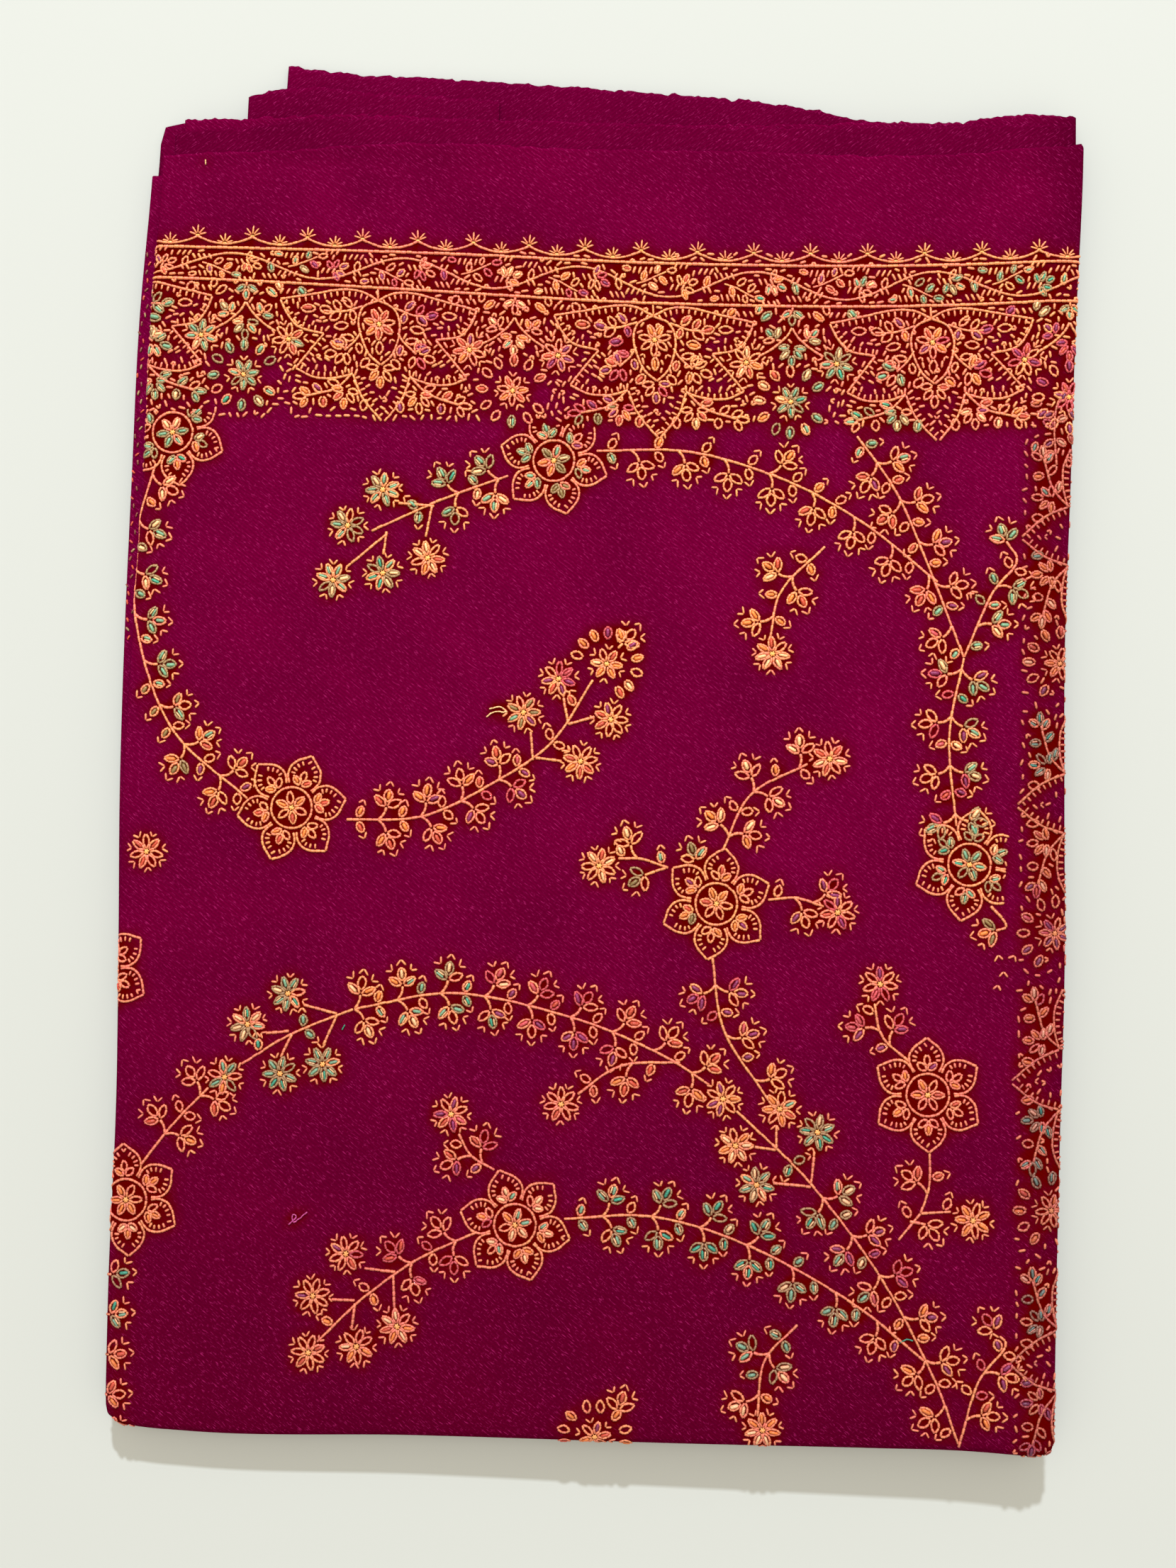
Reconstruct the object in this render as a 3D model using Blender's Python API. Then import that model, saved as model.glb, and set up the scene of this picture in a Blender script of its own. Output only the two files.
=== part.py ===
"""A fine wool scarf, folded into a flat pile and lying on a surface.

+Z is up, +X runs across the pile and +Y along it, from the bottom fold to the cut end.
The origin is on the surface, under the middle of the pile. "along" is the distance
from the bottom fold, and "depth" is the distance below the top of the pile.
"""

import math

import bpy
import numpy as np

MM = 0.001

# The pile and its cloth
PILE_LENGTH = 525.0 * MM
PILE_MIDDLE = 261.2 * MM
PANEL_WIDTH = 356.0 * MM
PANEL_LENGTH = 489.0 * MM
WALL = 1.0 * MM

# The folds of the top panel: small at the sides, and round the whole stack at the bottom
SIDE_FOLD_RADIUS = 1.2 * MM
SIDE_LIP_RUN = 1.0 * MM
BOTTOM_FOLD_RADIUS = 3.6 * MM
BOTTOM_LIP_RUN = 1.5 * MM

# The left fold of the ply below, which peeps out beside the top panel
LEFT_FOLD_THICK = 2.2 * MM
LEFT_FOLD_WIDTH = 8.0 * MM
LEFT_FOLD_DEPTH = 2.75 * MM
LEFT_FOLD_START = 14.0 * MM
LEFT_FOLD_END = 478.0 * MM

# Where the core gives way to the separate ply ends, and how far these reach back
PLY_END_BACK = 480.4 * MM
CORE_TOP_DEPTH = 1.3 * MM
CORNER_RADIUS = 5.0 * MM
CORNER_PULL = 1.6 * MM
CORNER_REACH = 7.0 * MM
# A corner station between two others lies this share of the radius inside both sides
CORNER_SHARE = 1.0 - math.sqrt(0.5)

# Sides of the pile, a row for each place along it. outer_left is the furthest edge on
# the left, peep is how far the top panel's own fold lies inside it, and the three
# heights are the top of the pile at its left, middle and right. All in millimetres.
SIDE_ROWS = (
    # along, outer_left, peep, right, height_left, height_middle, height_right
    (0.0, -177.6, 0.8, 174.8, 11.6, 13.4, 16.4),
    (60.0, -178.2, 0.9, 175.0, 12.0, 13.4, 16.2),
    (120.0, -177.8, 1.2, 175.9, 12.2, 13.0, 15.2),
    (180.0, -179.2, 1.4, 177.0, 12.0, 12.8, 14.6),
    (240.0, -181.0, 2.2, 176.3, 11.7, 12.6, 14.2),
    (300.0, -181.4, 4.2, 175.9, 11.5, 12.2, 13.6),
    (360.0, -180.9, 5.6, 177.4, 11.3, 12.0, 13.0),
    (420.0, -180.3, 5.6, 178.7, 11.0, 11.8, 12.6),
    (480.0, -177.2, 4.9, 180.9, 10.8, 11.4, 12.0),
    (520.0, -176.0, 4.6, 181.2, 10.6, 11.2, 11.6),
)

# The bottom fold and the cut edge of each ply end: across, along, in millimetres
BOTTOM_EDGE = (
    (-179.0, 0.6), (-166.0, -1.5), (-146.0, -2.5), (-60.0, -0.3), (40.0, 1.3),
    (110.0, 3.0), (140.0, 3.6), (176.0, 2.4),
)
TOP_PANEL_EDGE = (
    (-176.0, 485.0), (-143.0, 486.4), (-72.0, 490.0), (-20.0, 488.0),
    (55.0, 487.0), (120.0, 486.2), (150.0, 488.4), (181.0, 490.8),
)
SECOND_PLY_EDGE = (
    (-169.0, 493.4), (-160.0, 495.0), (-140.0, 495.8), (-122.0, 499.2),
    (-72.0, 500.0), (60.0, 497.2), (178.0, 499.0),
)
THIRD_PLY_EDGE = (
    (-165.0, 500.2), (-122.0, 501.6), (-102.0, 502.4), (-44.0, 500.4), (60.0, 499.0),
    (110.0, 500.2), (132.0, 500.4), (154.0, 503.4), (179.0, 503.0),
)
FOURTH_PLY_EDGE = ((-141.0, 510.4), (-128.0, 513.6), (-90.0, 512.4), (-40.0, 508.8))
FIFTH_PLY_EDGE = (
    (-127.0, 525.0), (-104.0, 521.8), (-74.0, 520.0), (-42.0, 518.2), (12.0, 514.2),
    (38.0, 512.2), (56.0, 510.6), (76.0, 507.4), (96.0, 503.2), (118.0, 500.4), (178.0, 499.4),
)

# The ply ends that show one below the other at the cut end. Lengths in millimetres.
PLY_ENDS = (
    # name, left, right, depth, droop at the end of the pile, edge row
    ("second_ply_end", -167.8, 177.6, 1.30, 0.6, SECOND_PLY_EDGE),
    ("third_ply_end", -164.7, 178.6, 2.75, 1.2, THIRD_PLY_EDGE),
    ("fourth_ply_end", -140.6, -42.0, 4.10, 2.2, FOURTH_PLY_EDGE),
    ("fifth_ply_end", -126.2, 177.8, 5.45, 3.2, FIFTH_PLY_EDGE),
)
DROOP_START = 486.0 * MM

# Sections of the core, from the surface up, in millimetres but for the share. Below the
# bottom fold a section lies at a share of the height there, above it at a depth. The
# insets are from the outermost edge of each side, crests and hollows being the plies.
CORE_LOW_DEPTH = 7.6
CORE_LOW_ROWS = (
    # share, inset_left, inset_right, inset_bottom, inset_top
    (0.00, 2.6, 2.6, 2.8, 9.4),
    (0.07, 1.3, 1.4, 1.2, 8.2),
    (0.17, 1.1, 1.2, 0.9, 8.0),
    (0.25, 2.1, 2.0, 2.0, 9.2),
    (0.33, 0.9, 1.5, 1.3, 7.4),
    (0.43, 0.9, 1.3, 1.0, 7.2),
    (0.51, 1.9, 2.3, 2.1, 8.6),
    (0.59, 1.2, 1.0, 0.7, 6.6),
    (0.69, 1.1, 0.9, 0.6, 6.6),
    (0.77, 2.1, 1.9, 1.9, 8.4),
    (0.85, 0.8, 1.4, 1.1, 7.0),
    (0.95, 0.9, 1.3, 1.2, 7.0),
)
CORE_HIGH_ROWS = (
    # depth, inset_left, inset_right, inset_bottom, inset_top
    (7.55, 1.6, 1.8, 5.6, 9.0),
    (7.05, 1.1, 1.1, 5.6, 14.0),
    (6.80, 1.0, 1.1, 5.6, 28.2),
    (6.00, 1.2, 1.9, 5.6, 28.2),
    (5.35, 1.5, 1.2, 5.6, 28.2),
    (5.25, 9.0, 1.0, 5.6, 28.2),
    (4.40, 9.0, 1.8, 5.6, 28.2),
    (3.60, 9.0, 1.0, 5.6, 28.2),
    (2.80, 9.0, 1.4, 5.6, 28.2),
    (2.70, 9.0, 3.2, 5.6, 28.2),
    (2.40, 9.0, 3.2, 5.6, 28.2),
    (2.35, 8.7, 3.2, 5.6, 28.2),
    (1.60, 8.6, 3.2, 5.6, 28.2),
    (1.30, 9.2, 3.8, 6.2, 28.8),
)
CORE_TOP_ALONG = 508.4

# The slope of the top panel towards its folds: reach and drop, in millimetres
LEFT_SHOULDER = (6.0, 0.5)
RIGHT_SHOULDER = (12.0, 1.6)
BOTTOM_SHOULDER = (12.0, 1.0)

# How finely each piece is divided
PANEL_STATIONS_ACROSS = 12
PANEL_STATIONS_ALONG = 20
SIDE_FOLD_ANGLES = (-90.0, -45.0, 0.0, 45.0, 90.0)
BOTTOM_FOLD_ANGLES = (-90.0, -60.0, -30.0, 0.0, 30.0, 60.0, 90.0)
SHOULDER_SHARES = (0.3, 0.65, 1.0)
CORE_STATIONS_ACROSS = 12
CORE_STATIONS_ALONG = 17
PLY_STATIONS_ALONG = (0.0, 0.35, 0.6, 0.8, 1.0)
PLY_STATION_WIDTH = 14.0 * MM
LEFT_FOLD_STATIONS = 20

CLOTH_COLOUR = (0.175, 0.003, 0.042, 1.0)
CLOTH_ROUGHNESS = 0.82
CLOTH_SHADE_STEP = 0.94
SHARP_ANGLE = math.radians(50.0)


def smooth_row(rows, column, places):
    """Read one column of a table at the given places, on a smooth curve through its rows."""
    table = np.array(rows, dtype=float)
    xs = table[:, 0]
    ys = table[:, column]
    slopes = np.gradient(ys, xs)
    places = np.clip(np.asarray(places, dtype=float), xs[0], xs[-1])
    index = np.clip(np.searchsorted(xs, places) - 1, 0, len(xs) - 2)
    span = xs[index + 1] - xs[index]
    t = (places - xs[index]) / span
    return (
        (2 * t**3 - 3 * t**2 + 1) * ys[index]
        + (t**3 - 2 * t**2 + t) * span * slopes[index]
        + (3 * t**2 - 2 * t**3) * ys[index + 1]
        + (t**3 - t**2) * span * slopes[index + 1]
    )


def side(column, along):
    return smooth_row(SIDE_ROWS, column, np.asarray(along) / MM) * MM


def outer_left(along):
    return side(1, along)


def panel_left(along):
    return side(1, along) + side(2, along)


def panel_right(along):
    return side(3, along)


def edge(rows, across):
    return smooth_row(rows, 1, np.asarray(across) / MM) * MM


def pile_top(across, along):
    """Height of the pile's top: a parabola across, through the three heights of the row."""
    left = side(4, along)
    middle = side(5, along)
    right = side(6, along)
    t = np.asarray(across) / (0.5 * PANEL_WIDTH)
    return middle + 0.5 * (right - left) * t + 0.5 * (left + right - 2 * middle) * t * t


def shoulder(distance, shape):
    """How far the top slopes down at this distance from the inside of its fold."""
    reach, drop = shape
    t = np.clip(1.0 - np.asarray(distance) / (reach * MM), 0.0, 1.0)
    return drop * MM * t * t


def panel_top(across, along):
    """Height of the top panel, which slopes down a little towards its three folds."""
    from_left = across - panel_left(along) - SIDE_FOLD_RADIUS
    from_right = panel_right(along) - across - SIDE_FOLD_RADIUS
    from_bottom = along - edge(BOTTOM_EDGE, across) - BOTTOM_FOLD_RADIUS
    drop = shoulder(from_left, LEFT_SHOULDER) + shoulder(from_right, RIGHT_SHOULDER)
    return float(pile_top(across, along) - drop - shoulder(from_bottom, BOTTOM_SHOULDER))


def fold_curve(angles, radius, inner):
    """Half-round of a fold, as (in from the outermost point, up from the top)."""
    reach = radius - inner
    return [
        (radius - reach * math.cos(math.radians(a)), -radius + reach * math.sin(math.radians(a)))
        for a in angles
    ]


def material(name, step):
    shade = CLOTH_SHADE_STEP**step
    made = bpy.data.materials.new(name)
    made.use_nodes = True
    shader = made.node_tree.nodes["Principled BSDF"]
    red, green, blue, alpha = CLOTH_COLOUR
    shader.inputs["Base Color"].default_value = (red * shade, green * shade, blue * shade, alpha)
    shader.inputs["Roughness"].default_value = CLOTH_ROUGHNESS
    shader.inputs["Metallic"].default_value = 0.0
    return made


def add_object(name, points, faces, shade_step):
    mesh = bpy.data.meshes.new(name)
    mesh.from_pydata([tuple(p) for p in points], [], faces)
    mesh.validate()
    mesh.shade_smooth()
    mesh.set_sharp_from_angle(angle=SHARP_ANGLE)
    mesh.materials.append(material(name + "_cloth", shade_step))
    made = bpy.data.objects.new(name, mesh)
    bpy.context.scene.collection.objects.link(made)
    return made


def two_sided_grid(outer, inner):
    """Close two grids of points, one above the other, into a wall."""
    rows, columns, _ = outer.shape
    points = np.concatenate([outer.reshape(-1, 3), inner.reshape(-1, 3)])
    shift = rows * columns

    def at(row, column):
        return row * columns + column

    faces = []
    for row in range(rows - 1):
        for column in range(columns - 1):
            quad = (at(row, column), at(row, column + 1), at(row + 1, column + 1), at(row + 1, column))
            faces.append(quad)
            faces.append(tuple(shift + i for i in reversed(quad)))
    rim = [at(0, c) for c in range(columns)]
    rim += [at(r, columns - 1) for r in range(1, rows)]
    rim += [at(rows - 1, c) for c in range(columns - 2, -1, -1)]
    rim += [at(r, 0) for r in range(rows - 2, 0, -1)]
    for first, second in zip(rim, rim[1:] + rim[:1]):
        faces.append((second, first, first + shift, second + shift))
    return points, faces


def panel_stations_across(inner):
    """Places across the top panel: (side, in from that side or a share, below the top)."""
    left = [("left", SIDE_FOLD_RADIUS + SIDE_LIP_RUN, -2 * SIDE_FOLD_RADIUS + inner)]
    left += [("left", x, n) for x, n in fold_curve(SIDE_FOLD_ANGLES, SIDE_FOLD_RADIUS, inner)]
    right = [("right", x, n) for _, x, n in reversed(left)]
    for share in SHOULDER_SHARES:
        left.append(("left", SIDE_FOLD_RADIUS + share * LEFT_SHOULDER[0] * MM, -inner))
    inset = [
        ("right", SIDE_FOLD_RADIUS + share * RIGHT_SHOULDER[0] * MM, -inner)
        for share in reversed(SHOULDER_SHARES)
    ]
    middle = [
        ("share", i / (PANEL_STATIONS_ACROSS + 1), -inner)
        for i in range(1, PANEL_STATIONS_ACROSS + 1)
    ]
    return left + middle + inset + right


def panel_stations_along():
    """Places along the top panel: (in from the bottom fold, its angle) or a share on top."""
    stations = [("lip", BOTTOM_FOLD_RADIUS + BOTTOM_LIP_RUN, -90.0)]
    stations += [("fold", BOTTOM_FOLD_RADIUS, angle) for angle in BOTTOM_FOLD_ANGLES]
    for share in SHOULDER_SHARES:
        stations.append(("flat", BOTTOM_FOLD_RADIUS + share * BOTTOM_SHOULDER[0] * MM, 90.0))
    start = BOTTOM_FOLD_RADIUS + BOTTOM_SHOULDER[0] * MM
    for i in range(1, PANEL_STATIONS_ALONG + 1):
        stations.append(("share", start, i / PANEL_STATIONS_ALONG))
    return stations


def panel_place(across_station, along_station):
    """One point of the top panel."""
    kind, inset, below = across_station
    row_kind, row_inset, value = along_station
    guess = row_inset if row_kind != "share" else row_inset + value * (PANEL_LENGTH - row_inset)
    left = float(panel_left(guess))
    right = float(panel_right(guess))
    if kind == "left":
        x = left + inset
    elif kind == "right":
        x = right - inset
    else:
        start = left + SIDE_FOLD_RADIUS + LEFT_SHOULDER[0] * MM
        end = right - SIDE_FOLD_RADIUS - RIGHT_SHOULDER[0] * MM
        x = start + inset * (end - start)
    bottom = float(edge(BOTTOM_EDGE, x))
    if row_kind == "share":
        along = bottom + row_inset + value * (float(edge(TOP_PANEL_EDGE, x)) - bottom - row_inset)
        lower = below
    else:
        angle = math.radians(value)
        reach = BOTTOM_FOLD_RADIUS + below
        along = bottom + row_inset - reach * math.cos(angle)
        lower = -BOTTOM_FOLD_RADIUS + reach * math.sin(angle)
    return corner_pulled(x, along, panel_top(x, along) + lower, left, right, bottom)


def corner_pulled(x, along, height, left, right, bottom):
    """Draw the two bottom corners in a little, as worn folded corners are."""
    for side_x, sign in ((left, 1.0), (right, -1.0)):
        away = math.hypot(x - side_x, along - bottom)
        pull = CORNER_PULL * max(0.0, 1.0 - away / CORNER_REACH) ** 2
        x += sign * pull
        along += pull
    return (x, along - PILE_MIDDLE, height)


def build_top_panel():
    along_stations = panel_stations_along()
    grids = []
    for inner in (0.0, WALL):
        across_stations = panel_stations_across(inner)
        grids.append(np.array([
            [panel_place(across, along) for across in across_stations]
            for along in along_stations
        ]))
    points, faces = two_sided_grid(grids[0], grids[1])
    return add_object("top_panel", points, faces, 0)


def build_left_fold():
    """The folded edge of the ply below the top panel: a flat strip with a round nose."""
    radius = 0.5 * LEFT_FOLD_THICK
    nose = fold_curve(SIDE_FOLD_ANGLES, radius, 0.0)
    profile = [(LEFT_FOLD_WIDTH, -LEFT_FOLD_THICK)] + nose + [(LEFT_FOLD_WIDTH, 0.0)]
    points = []
    for i in range(LEFT_FOLD_STATIONS + 1):
        share = i / LEFT_FOLD_STATIONS
        along = LEFT_FOLD_START + share * (LEFT_FOLD_END - LEFT_FOLD_START)
        edge_x = float(outer_left(along))
        for x_in, below in profile:
            height = panel_top(edge_x + x_in, along) - LEFT_FOLD_DEPTH + below
            points.append((edge_x + x_in, along - PILE_MIDDLE, height))
    count = len(profile)
    faces = [tuple(reversed(range(count)))]
    for i in range(LEFT_FOLD_STATIONS):
        for j in range(count):
            k = (j + 1) % count
            faces.append((i * count + j, i * count + k, (i + 1) * count + k, (i + 1) * count + j))
    last = LEFT_FOLD_STATIONS * count
    faces.append(tuple(last + j for j in range(count)))
    return add_object("left_fold", points, faces, 1)


def build_ply_end(index, name, left, right, depth, droop, edge_rows):
    """One cut end that shows below the ones above it."""
    columns = int(round((right - left) * MM / PLY_STATION_WIDTH)) + 1
    grids = []
    for inner in (0.0, WALL):
        rows = []
        for share in PLY_STATIONS_ALONG:
            row = []
            for x in np.linspace(left, right, columns) * MM:
                end = float(edge(edge_rows, x))
                along = PLY_END_BACK + share * (end - PLY_END_BACK)
                fall = max(0.0, along - DROOP_START) / (PILE_LENGTH - DROOP_START)
                height = panel_top(x, along) - depth * MM - inner
                row.append((x, along - PILE_MIDDLE, height - droop * MM * fall * fall))
            rows.append(row)
        grids.append(np.array(rows))
    points, faces = two_sided_grid(grids[0], grids[1])
    return add_object(name, points, faces, index)


def core_outline(insets):
    """Grid of plan points inside one section's outline, with its corners eased."""
    inset_left, inset_right, inset_bottom, inset_top = [value * MM for value in insets]
    ease = CORNER_SHARE * CORNER_RADIUS
    grid = []
    top = CORE_TOP_ALONG * MM - inset_top
    for j in range(CORE_STATIONS_ALONG + 1):
        row = []
        for i in range(CORE_STATIONS_ACROSS + 1):
            share = eased_share(j, CORE_STATIONS_ALONG, top)
            left = float(outer_left(share * top)) + inset_left
            right = float(panel_right(share * top)) - inset_right
            x = left + eased_share(i, CORE_STATIONS_ACROSS, right - left) * (right - left)
            bottom = float(edge(BOTTOM_EDGE, x)) + inset_bottom
            along = bottom + share * (top - bottom)
            if i in (0, CORE_STATIONS_ACROSS) and j in (0, CORE_STATIONS_ALONG):
                x += ease if i == 0 else -ease
                along += ease if j == 0 else -ease
            row.append((x, along))
        grid.append(row)
    return grid


def eased_share(index, count, length):
    """Even stations, but for the first and last, which lie a corner radius in."""
    if index == 0 or index == count:
        return index / count
    start = CORNER_RADIUS / length
    return start + (index - 1) / (count - 2) * (1.0 - 2.0 * start)


def ring_of(grid):
    rows = len(grid)
    columns = len(grid[0])
    ring = [grid[0][i] for i in range(columns)]
    ring += [grid[j][columns - 1] for j in range(1, rows)]
    ring += [grid[rows - 1][i] for i in range(columns - 2, -1, -1)]
    ring += [grid[j][0] for j in range(rows - 2, 0, -1)]
    return ring


def build_core():
    """The hidden plies as one solid, its sides showing them as crests and hollows."""
    points = []
    for share, *insets in CORE_LOW_ROWS:
        for x, along in ring_of(core_outline(insets)):
            points.append((x, along - PILE_MIDDLE, share * (panel_top(x, along) - CORE_LOW_DEPTH * MM)))
    for depth, *insets in CORE_HIGH_ROWS:
        for x, along in ring_of(core_outline(insets)):
            points.append((x, along - PILE_MIDDLE, panel_top(x, along) - depth * MM))
    count = 2 * (CORE_STATIONS_ACROSS + CORE_STATIONS_ALONG)
    rings = len(CORE_LOW_ROWS) + len(CORE_HIGH_ROWS)
    faces = [tuple(reversed(range(count)))]
    for r in range(rings - 1):
        for i in range(count):
            k = (i + 1) % count
            faces.append((r * count + i, r * count + k, (r + 1) * count + k, (r + 1) * count + i))
    cap = core_outline(CORE_HIGH_ROWS[-1][1:])
    last_ring = {}
    for i, place in enumerate(ring_of([[(j, k) for k in range(len(cap[0]))] for j in range(len(cap))])):
        last_ring[place] = (rings - 1) * count + i
    for j in range(len(cap) - 1):
        for i in range(len(cap[0]) - 1):
            quad = []
            for place in ((j, i), (j, i + 1), (j + 1, i + 1), (j + 1, i)):
                if place not in last_ring:
                    x, along = cap[place[0]][place[1]]
                    last_ring[place] = len(points)
                    points.append((x, along - PILE_MIDDLE, panel_top(x, along) - CORE_TOP_DEPTH))
                quad.append(last_ring[place])
            faces.append(tuple(quad))
    return add_object("folded_core", points, faces, 2)


def main():
    for old in list(bpy.data.objects):
        bpy.data.objects.remove(old, do_unlink=True)
    build_top_panel()
    build_left_fold()
    for index, row in enumerate(PLY_ENDS):
        build_ply_end(index + 1, *row)
    build_core()


main()
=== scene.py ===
import math

import bpy
import numpy as np
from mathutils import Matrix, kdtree


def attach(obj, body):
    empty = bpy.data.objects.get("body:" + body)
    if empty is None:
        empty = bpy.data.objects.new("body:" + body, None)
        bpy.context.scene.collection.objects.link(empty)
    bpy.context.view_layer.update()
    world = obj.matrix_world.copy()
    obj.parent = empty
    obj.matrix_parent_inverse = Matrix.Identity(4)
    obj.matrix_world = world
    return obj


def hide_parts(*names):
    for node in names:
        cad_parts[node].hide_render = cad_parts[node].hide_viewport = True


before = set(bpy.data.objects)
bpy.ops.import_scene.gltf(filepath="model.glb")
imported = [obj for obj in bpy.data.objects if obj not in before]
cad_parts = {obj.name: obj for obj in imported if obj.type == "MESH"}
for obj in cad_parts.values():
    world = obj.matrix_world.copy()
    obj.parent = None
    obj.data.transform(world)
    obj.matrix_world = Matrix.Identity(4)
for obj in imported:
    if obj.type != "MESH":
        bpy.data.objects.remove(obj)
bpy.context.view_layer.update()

rng = np.random.default_rng(3419)

# Sizes are in millimetres. x runs across the pile and v along it from the bottom fold,
# and a point's height is worked out from the shape of the pile.
MM = 0.001
PILE_LENGTH = 525.0
PILE_MIDDLE = 261.2
PANEL_WIDTH = 356.0
WALL = 0.9
SIDE_FOLD = 1.2
SIDE_LIP_RUN = 1.0
BOTTOM_FOLD = 3.6
BOTTOM_LIP_RUN = 1.5
LEFT_FOLD_THICK = 2.2
LEFT_FOLD_WIDTH = 8.0
LEFT_FOLD_DEPTH = 2.75
LEFT_FOLD_START = 14.0
LEFT_FOLD_END = 478.0
PLY_END_BACK = 480.4
DROOP_START = 486.0
CORNER_PULL = 1.6
CORNER_REACH = 7.0

SIDE_ROWS = np.array([
    # along, outer_left, peep, right, height_left, height_middle, height_right
    (0.0, -177.6, 0.8, 174.8, 11.6, 13.4, 16.4),
    (60.0, -178.2, 0.9, 175.0, 12.0, 13.4, 16.2),
    (120.0, -177.8, 1.2, 175.9, 12.2, 13.0, 15.2),
    (180.0, -179.2, 1.4, 177.0, 12.0, 12.8, 14.6),
    (240.0, -181.0, 2.2, 176.3, 11.7, 12.6, 14.2),
    (300.0, -181.4, 4.2, 175.9, 11.5, 12.2, 13.6),
    (360.0, -180.9, 5.6, 177.4, 11.3, 12.0, 13.0),
    (420.0, -180.3, 5.6, 178.7, 11.0, 11.8, 12.6),
    (480.0, -177.2, 4.9, 180.9, 10.8, 11.4, 12.0),
    (520.0, -176.0, 4.6, 181.2, 10.6, 11.2, 11.6),
])
BOTTOM_EDGE = np.array([
    (-179.0, 0.6), (-166.0, -1.5), (-146.0, -2.5), (-60.0, -0.3), (40.0, 1.3),
    (110.0, 3.0), (140.0, 3.6), (176.0, 2.4),
])
TOP_PANEL_EDGE = np.array([
    (-176.0, 485.0), (-143.0, 486.4), (-72.0, 490.0), (-20.0, 488.0),
    (55.0, 487.0), (120.0, 486.2), (150.0, 488.4), (181.0, 490.8),
])
SECOND_PLY_EDGE = np.array([
    (-169.0, 493.4), (-160.0, 495.0), (-140.0, 495.8), (-122.0, 499.2),
    (-72.0, 500.0), (60.0, 497.2), (178.0, 499.0),
])
THIRD_PLY_EDGE = np.array([
    (-165.0, 500.2), (-122.0, 501.6), (-102.0, 502.4), (-44.0, 500.4), (60.0, 499.0),
    (110.0, 500.2), (132.0, 500.4), (154.0, 503.4), (179.0, 503.0),
])
FOURTH_PLY_EDGE = np.array([(-141.0, 510.4), (-128.0, 513.6), (-90.0, 512.4), (-40.0, 508.8)])
FIFTH_PLY_EDGE = np.array([
    (-127.0, 525.0), (-104.0, 521.8), (-74.0, 520.0), (-42.0, 518.2), (12.0, 514.2),
    (38.0, 512.2), (56.0, 510.6), (76.0, 507.4), (96.0, 503.2), (118.0, 500.4), (178.0, 499.4),
])
PLY_ENDS = (
    # name, left, right, depth, droop at the end of the pile, edge row
    ("second_ply_end", -167.8, 177.6, 1.30, 0.6, SECOND_PLY_EDGE),
    ("third_ply_end", -164.7, 178.6, 2.75, 1.2, THIRD_PLY_EDGE),
    ("fourth_ply_end", -140.6, -42.0, 4.10, 2.2, FOURTH_PLY_EDGE),
    ("fifth_ply_end", -126.2, 177.8, 5.45, 3.2, FIFTH_PLY_EDGE),
)
LEFT_SHOULDER = (6.0, 0.5)
RIGHT_SHOULDER = (12.0, 1.6)
BOTTOM_SHOULDER = (12.0, 1.0)

# Soft rises (positive) and troughs of the top, each placed one by one
CREASES = (
    # x, v, direction in degrees, length, width, height
    (-120.0, 474.0, 2.0, 150.0, 9.0, -0.55),
    (60.0, 476.0, -1.0, 210.0, 8.0, -0.35),
    (150.0, 470.0, 28.0, 50.0, 12.0, -0.50),
    (-60.0, 300.0, 62.0, 160.0, 34.0, 0.35),
    (20.0, 320.0, 48.0, 190.0, 26.0, -0.30),
    (-120.0, 190.0, 15.0, 120.0, 24.0, -0.28),
    (95.0, 170.0, 80.0, 150.0, 20.0, -0.30),
    (-20.0, 205.0, 70.0, 110.0, 22.0, 0.32),
    (-70.0, 110.0, -20.0, 140.0, 26.0, 0.30),
    (10.0, 40.0, 8.0, 160.0, 16.0, -0.38),
    (120.0, 24.0, -5.0, 90.0, 12.0, 0.45),
    (158.0, 120.0, 88.0, 200.0, 9.0, -0.35),
    (-158.0, 330.0, 90.0, 130.0, 10.0, -0.25),
    (130.0, 400.0, -70.0, 80.0, 18.0, 0.28),
)


def smooth_row(table, column, places):
    """One column of a table at the given places, on a smooth curve through its rows."""
    xs = table[:, 0]
    ys = table[:, column]
    slopes = np.gradient(ys, xs)
    places = np.clip(np.asarray(places, dtype=float), xs[0], xs[-1])
    index = np.clip(np.searchsorted(xs, places) - 1, 0, len(xs) - 2)
    span = xs[index + 1] - xs[index]
    t = (places - xs[index]) / span
    return (
        (2 * t**3 - 3 * t**2 + 1) * ys[index]
        + (t**3 - 2 * t**2 + t) * span * slopes[index]
        + (3 * t**2 - 2 * t**3) * ys[index + 1]
        + (t**3 - t**2) * span * slopes[index + 1]
    )


def outer_left(v):
    return smooth_row(SIDE_ROWS, 1, v)


def panel_left(v):
    return outer_left(v) + smooth_row(SIDE_ROWS, 2, v)


def panel_right(v):
    return smooth_row(SIDE_ROWS, 3, v)


def bottom_edge(x):
    return smooth_row(BOTTOM_EDGE, 1, x)


def shoulder(distance, shape):
    reach, drop = shape
    t = np.clip(1.0 - distance / reach, 0.0, 1.0)
    return drop * t * t


def panel_top(x, v):
    """Height of the top of the pile, which slopes down a little to its three folds."""
    left = smooth_row(SIDE_ROWS, 4, v)
    middle = smooth_row(SIDE_ROWS, 5, v)
    right = smooth_row(SIDE_ROWS, 6, v)
    t = x / (0.5 * PANEL_WIDTH)
    top = middle + 0.5 * (right - left) * t + 0.5 * (left + right - 2 * middle) * t * t
    drop = shoulder(x - panel_left(v) - SIDE_FOLD, LEFT_SHOULDER)
    drop = drop + shoulder(panel_right(v) - x - SIDE_FOLD, RIGHT_SHOULDER)
    return top - drop - shoulder(v - bottom_edge(x) - BOTTOM_FOLD, BOTTOM_SHOULDER)


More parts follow.
